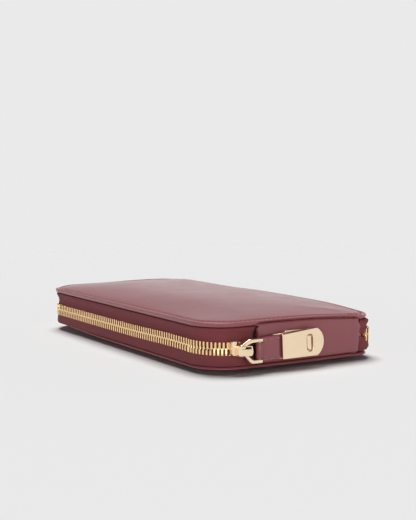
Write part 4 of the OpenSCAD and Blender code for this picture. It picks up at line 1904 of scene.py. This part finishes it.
@dataclass
class CoinPocket:
    """Zipped coin pocket between the covers: two leaves, a folded gusset, a hinge strip and its zip."""

    row: Row
    corner: float = 6 * MM
    fold: float = 1.0 * MM
    wall: float = 0.7 * MM
    window: Flat = (74 * MM, 10 * MM)
    window_seam: float = 3.6 * MM
    zip_x: float = -69 * MM
    zip_gap: float = 0.4 * MM
    zip_end: float = 2 * MM
    tape_steps: int = 40
    seam_in: float = 2.2 * MM
    pitch: float = 2 * MM
    tooth: Tooth = Tooth(width=0.8 * MM, deep=1.5 * MM, foot=1.9 * MM, head=0.35 * MM)
    bevel: float = 0.25 * MM
    lips: Flat = (0.1 * MM, 0.3 * MM)
    lip_rise: float = 0.5 * MM
    hinge_corner: float = 1 * MM
    stop_bevel: float = 0.1 * MM
    slider_bevel: float = 0.3 * MM
    pull_bevel: float = 0.2 * MM
    pull_corner: float = 2.2 * MM
    pull_seam_in: float = 1.1 * MM
    pull_seam_ends: Flat = (3 * MM, 1.6 * MM)
    pull_seam_sunk: float = 0.05 * MM
    stud_r: float = 1.05 * MM

    def leaf(self, node: str, holes: Sequence[Sequence[Flat]], stitching: Stitching, outside: int) -> None:
        """Builds one leaf with the seam round its edge and round its holes.

        Args:
            node: The solid that it replaces.
            holes: Outlines of its holes.
            stitching: Its thread.
            outside: The side on which the seam shows, 1 for the upper.
        """
        low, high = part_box(node)
        size = high - low
        edge = rounded_box(size.x, size.y, self.corner)
        shape = Shape().plate([edge, *holes], size.z, self.bevel, level(low.z))
        shape.piece(f"{node}_leather", INNER, Body.COIN_PAGE, node)
        skin = high.z + ABOVE if outside > 0 else low.z - ABOVE
        inner = size - Vector.Fill(3, 2 * self.seam_in)
        lines = [rounded_box(inner.x, inner.y, self.corner - self.seam_in / 2)]
        if holes:
            lines.append(oblong(*(side + self.window_seam for side in self.window), self.zip_x))
        paths = [[Vector((x, y, skin)) for x, y in line] for line in lines]
        stitching.sew(node, Body.COIN_PAGE, Slot.INNER, *paths, closed=True)

    def gusset(self) -> None:
        """Builds the gusset, which folds inwards all round."""
        low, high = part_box("coin_gusset")
        outline = Outline(high.x, high.y, self.corner, self.corner)
        edge, lip = self.lips
        outer = [(edge, low.z), (lip, low.z + self.lip_rise), (self.fold, (low.z + high.z) / 2),
                 (lip, high.z - self.lip_rise), (edge, high.z)]
        section = outer + [(inset + self.wall, z) for inset, z in reversed(outer)]
        rows = [[outline.point(station, inset, z) for inset, z in section] for station in outline.all_round()]
        shape = Shape().loft(rows, ring=True)
        shape.piece("coin_gusset_fold", INNER, Body.COIN_PAGE, "coin_gusset", sharp=60)

    def hinge(self, stitching: Stitching) -> None:
        """Builds the strip that joins the pocket to the end panel, with its seam.

        Args:
            stitching: Its thread.
        """
        node = "coin_hinge_strip"
        low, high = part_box(node)
        size = high - low
        strip = rounded_box(size.x, size.y, self.hinge_corner, (low + high) / 2)
        shape = Shape().plate([strip], size.z, self.bevel, level(low.z))
        shape.piece(f"{node}_leather", INNER, Body.COIN_PAGE, node)
        seam = [Vector((high.x - self.seam_in, y, high.z + ABOVE))
                for y in (low.y + self.seam_in, high.y - self.seam_in)]
        stitching.sew(node, Body.COIN_PAGE, Slot.INNER, seam)

    def zip(self) -> None:
        """Builds the tapes, both rows of teeth and the stops of the zip."""
        low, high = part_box("coin_zip_tapes")
        size = high - low
        shape = Shape()
        for side in (-1, 1):
            edge, back = self.zip_x + side * self.zip_gap, self.zip_x + side * size.x / 2
            across = [(edge, low.z), (edge, high.z), (back, high.z), (back, low.z)]
            stops = [low.y + size.y * k / self.tape_steps for k in range(self.tape_steps + 1)]
            shape.loft([[Vector((x, y, z)) for x, z in across] for y in stops])
        shape.piece("coin_zip_tape_twill", TAPE, Body.COIN_PAGE, "coin_zip_tapes", sharp=40)
        reach = self.window[0] / 2 - self.zip_end
        path = [Vector((self.zip_x, y, (low.z + high.z) / 2)) for y in (-reach, reach)]
        for name, turn, skip in (("left", 90, 0.0), ("right", -90, self.pitch / 2)):
            tooth = self.tooth.shape(Matrix.Rotation(math.radians(turn), 4, "X"))
            teeth = self.row.make(f"coin_zip_teeth_{name}", [path], tooth, TEETH, self.pitch, skip=skip)
            ride_piece(teeth, Body.COIN_PAGE, Slot.TEETH, "coin_zip_teeth")
        bars = Shape().bevelled("coin_zip_stops", self.stop_bevel)
        bars.piece("coin_zip_stop_bars", TEETH, Body.COIN_PAGE, "coin_zip_stops", sharp=40)

    def pull(self, stitching: Stitching) -> None:
        """Builds the slider of the zip and its leather pull.

        Args:
            stitching: Its thread.
        """
        slider = Shape().bevelled("coin_zip_slider", self.slider_bevel, 3)
        slider.piece("coin_zip_slider_body", GOLD, Body.COIN_SLIDER, "coin_zip_slider")
        node = "coin_zip_pull"
        low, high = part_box(node)
        strap = [(low.x, low.y), (high.x, low.y), (high.x, high.y), (low.x, high.y)]
        middle, angles = (low.y + high.y) / 2, [math.tau * k / 24 for k in range(24)]
        hole = [(self.zip_x + self.stud_r * math.cos(angle), middle + self.stud_r * math.sin(angle))
                for angle in angles]
        outlines = [fillet(strap, self.pull_corner, 6), hole]
        shape = Shape().plate(outlines, high.z - low.z, self.pull_bevel, level(low.z))
        shape.piece(f"{node}_strap", INNER, Body.COIN_PULL, node)
        ends = (self.zip_x + self.pull_seam_ends[0], high.x - self.pull_seam_ends[1])
        seams = [[Vector((x, y, high.z - self.pull_seam_sunk)) for x in ends]
                 for y in (low.y + self.pull_seam_in, high.y - self.pull_seam_in)]
        stitching.sew(node, Body.COIN_PULL, Slot.INNER, *seams)

    def build(self, stitching: Stitching) -> None:
        """Builds the whole pocket.

        Args:
            stitching: Its thread.
        """
        self.leaf("coin_pocket_back", [], stitching, -1)
        self.leaf("coin_pocket_front", [oblong(*self.window, self.zip_x)], stitching, 1)
        self.gusset()
        self.hinge(stitching)
        self.zip()
        self.pull(stitching)


def dress_solids() -> None:
    """Gives every solid that still shows its finish."""
    for part in frame["record"]["subparts"]:
        materials = frame["nodes"][part["node"]].data.materials
        materials.clear()
        materials.append(FINISHES[Slot(part["material_slot"])].material())


def main() -> None:
    """Builds the wallet and its studio."""
    logging.basicConfig(level=logging.INFO, format="%(message)s")
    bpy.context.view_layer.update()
    Studio().build()
    dress_solids()

    low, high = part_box("top_cover")
    outline = Outline(half_length=high.x, half_width=high.y, corner=19.5 * MM, rear_corner=13.7 * MM)
    seam_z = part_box("bottom_cover")[1].z
    stitching = Stitching(Row(Pivot.FREE))
    teeth_row = Row(Pivot.UPRIGHT)

    # The top cover's rim gets a pale crest: partly rubbed wear, partly a painted highlight.
    top = Cover(outline, Half.UPPER, low.z, rise=2.45 * MM, edge=-0.4 * MM, lift=0.85 * MM, sags=TOP_SAGS,
                wear_and_highlight=0.5, back_dip=0.3 * MM)
    top.build("top", Body.LID, stitching)
    bottom = Cover(outline, Half.LOWER, seam_z, rise=seam_z - 2.12 * MM, edge=0.6 * MM, lift=0.55 * MM,
                   sags=BOTTOM_SAGS, trim=1.7 * MM, end_trim=1.5 * MM, corner_out=1.6 * MM)
    bottom.build("bottom", Body.BASE, stitching)
    zip_z = (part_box("zip_tape_lower")[1].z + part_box("zip_tape_upper")[0].z) / 2
    wall = ZipWall(top, bottom, zip_z, teeth_row)
    wall.build()
    EndPanel(wall).build(stitching)
    Pull().build(stitching)
    CardPockets(Half.LOWER, Body.BASE).build(stitching)
    CardPockets(Half.UPPER, Body.LID).build(stitching)
    CoinPocket(teeth_row).build(stitching)


if __name__ == "__main__":
    main()
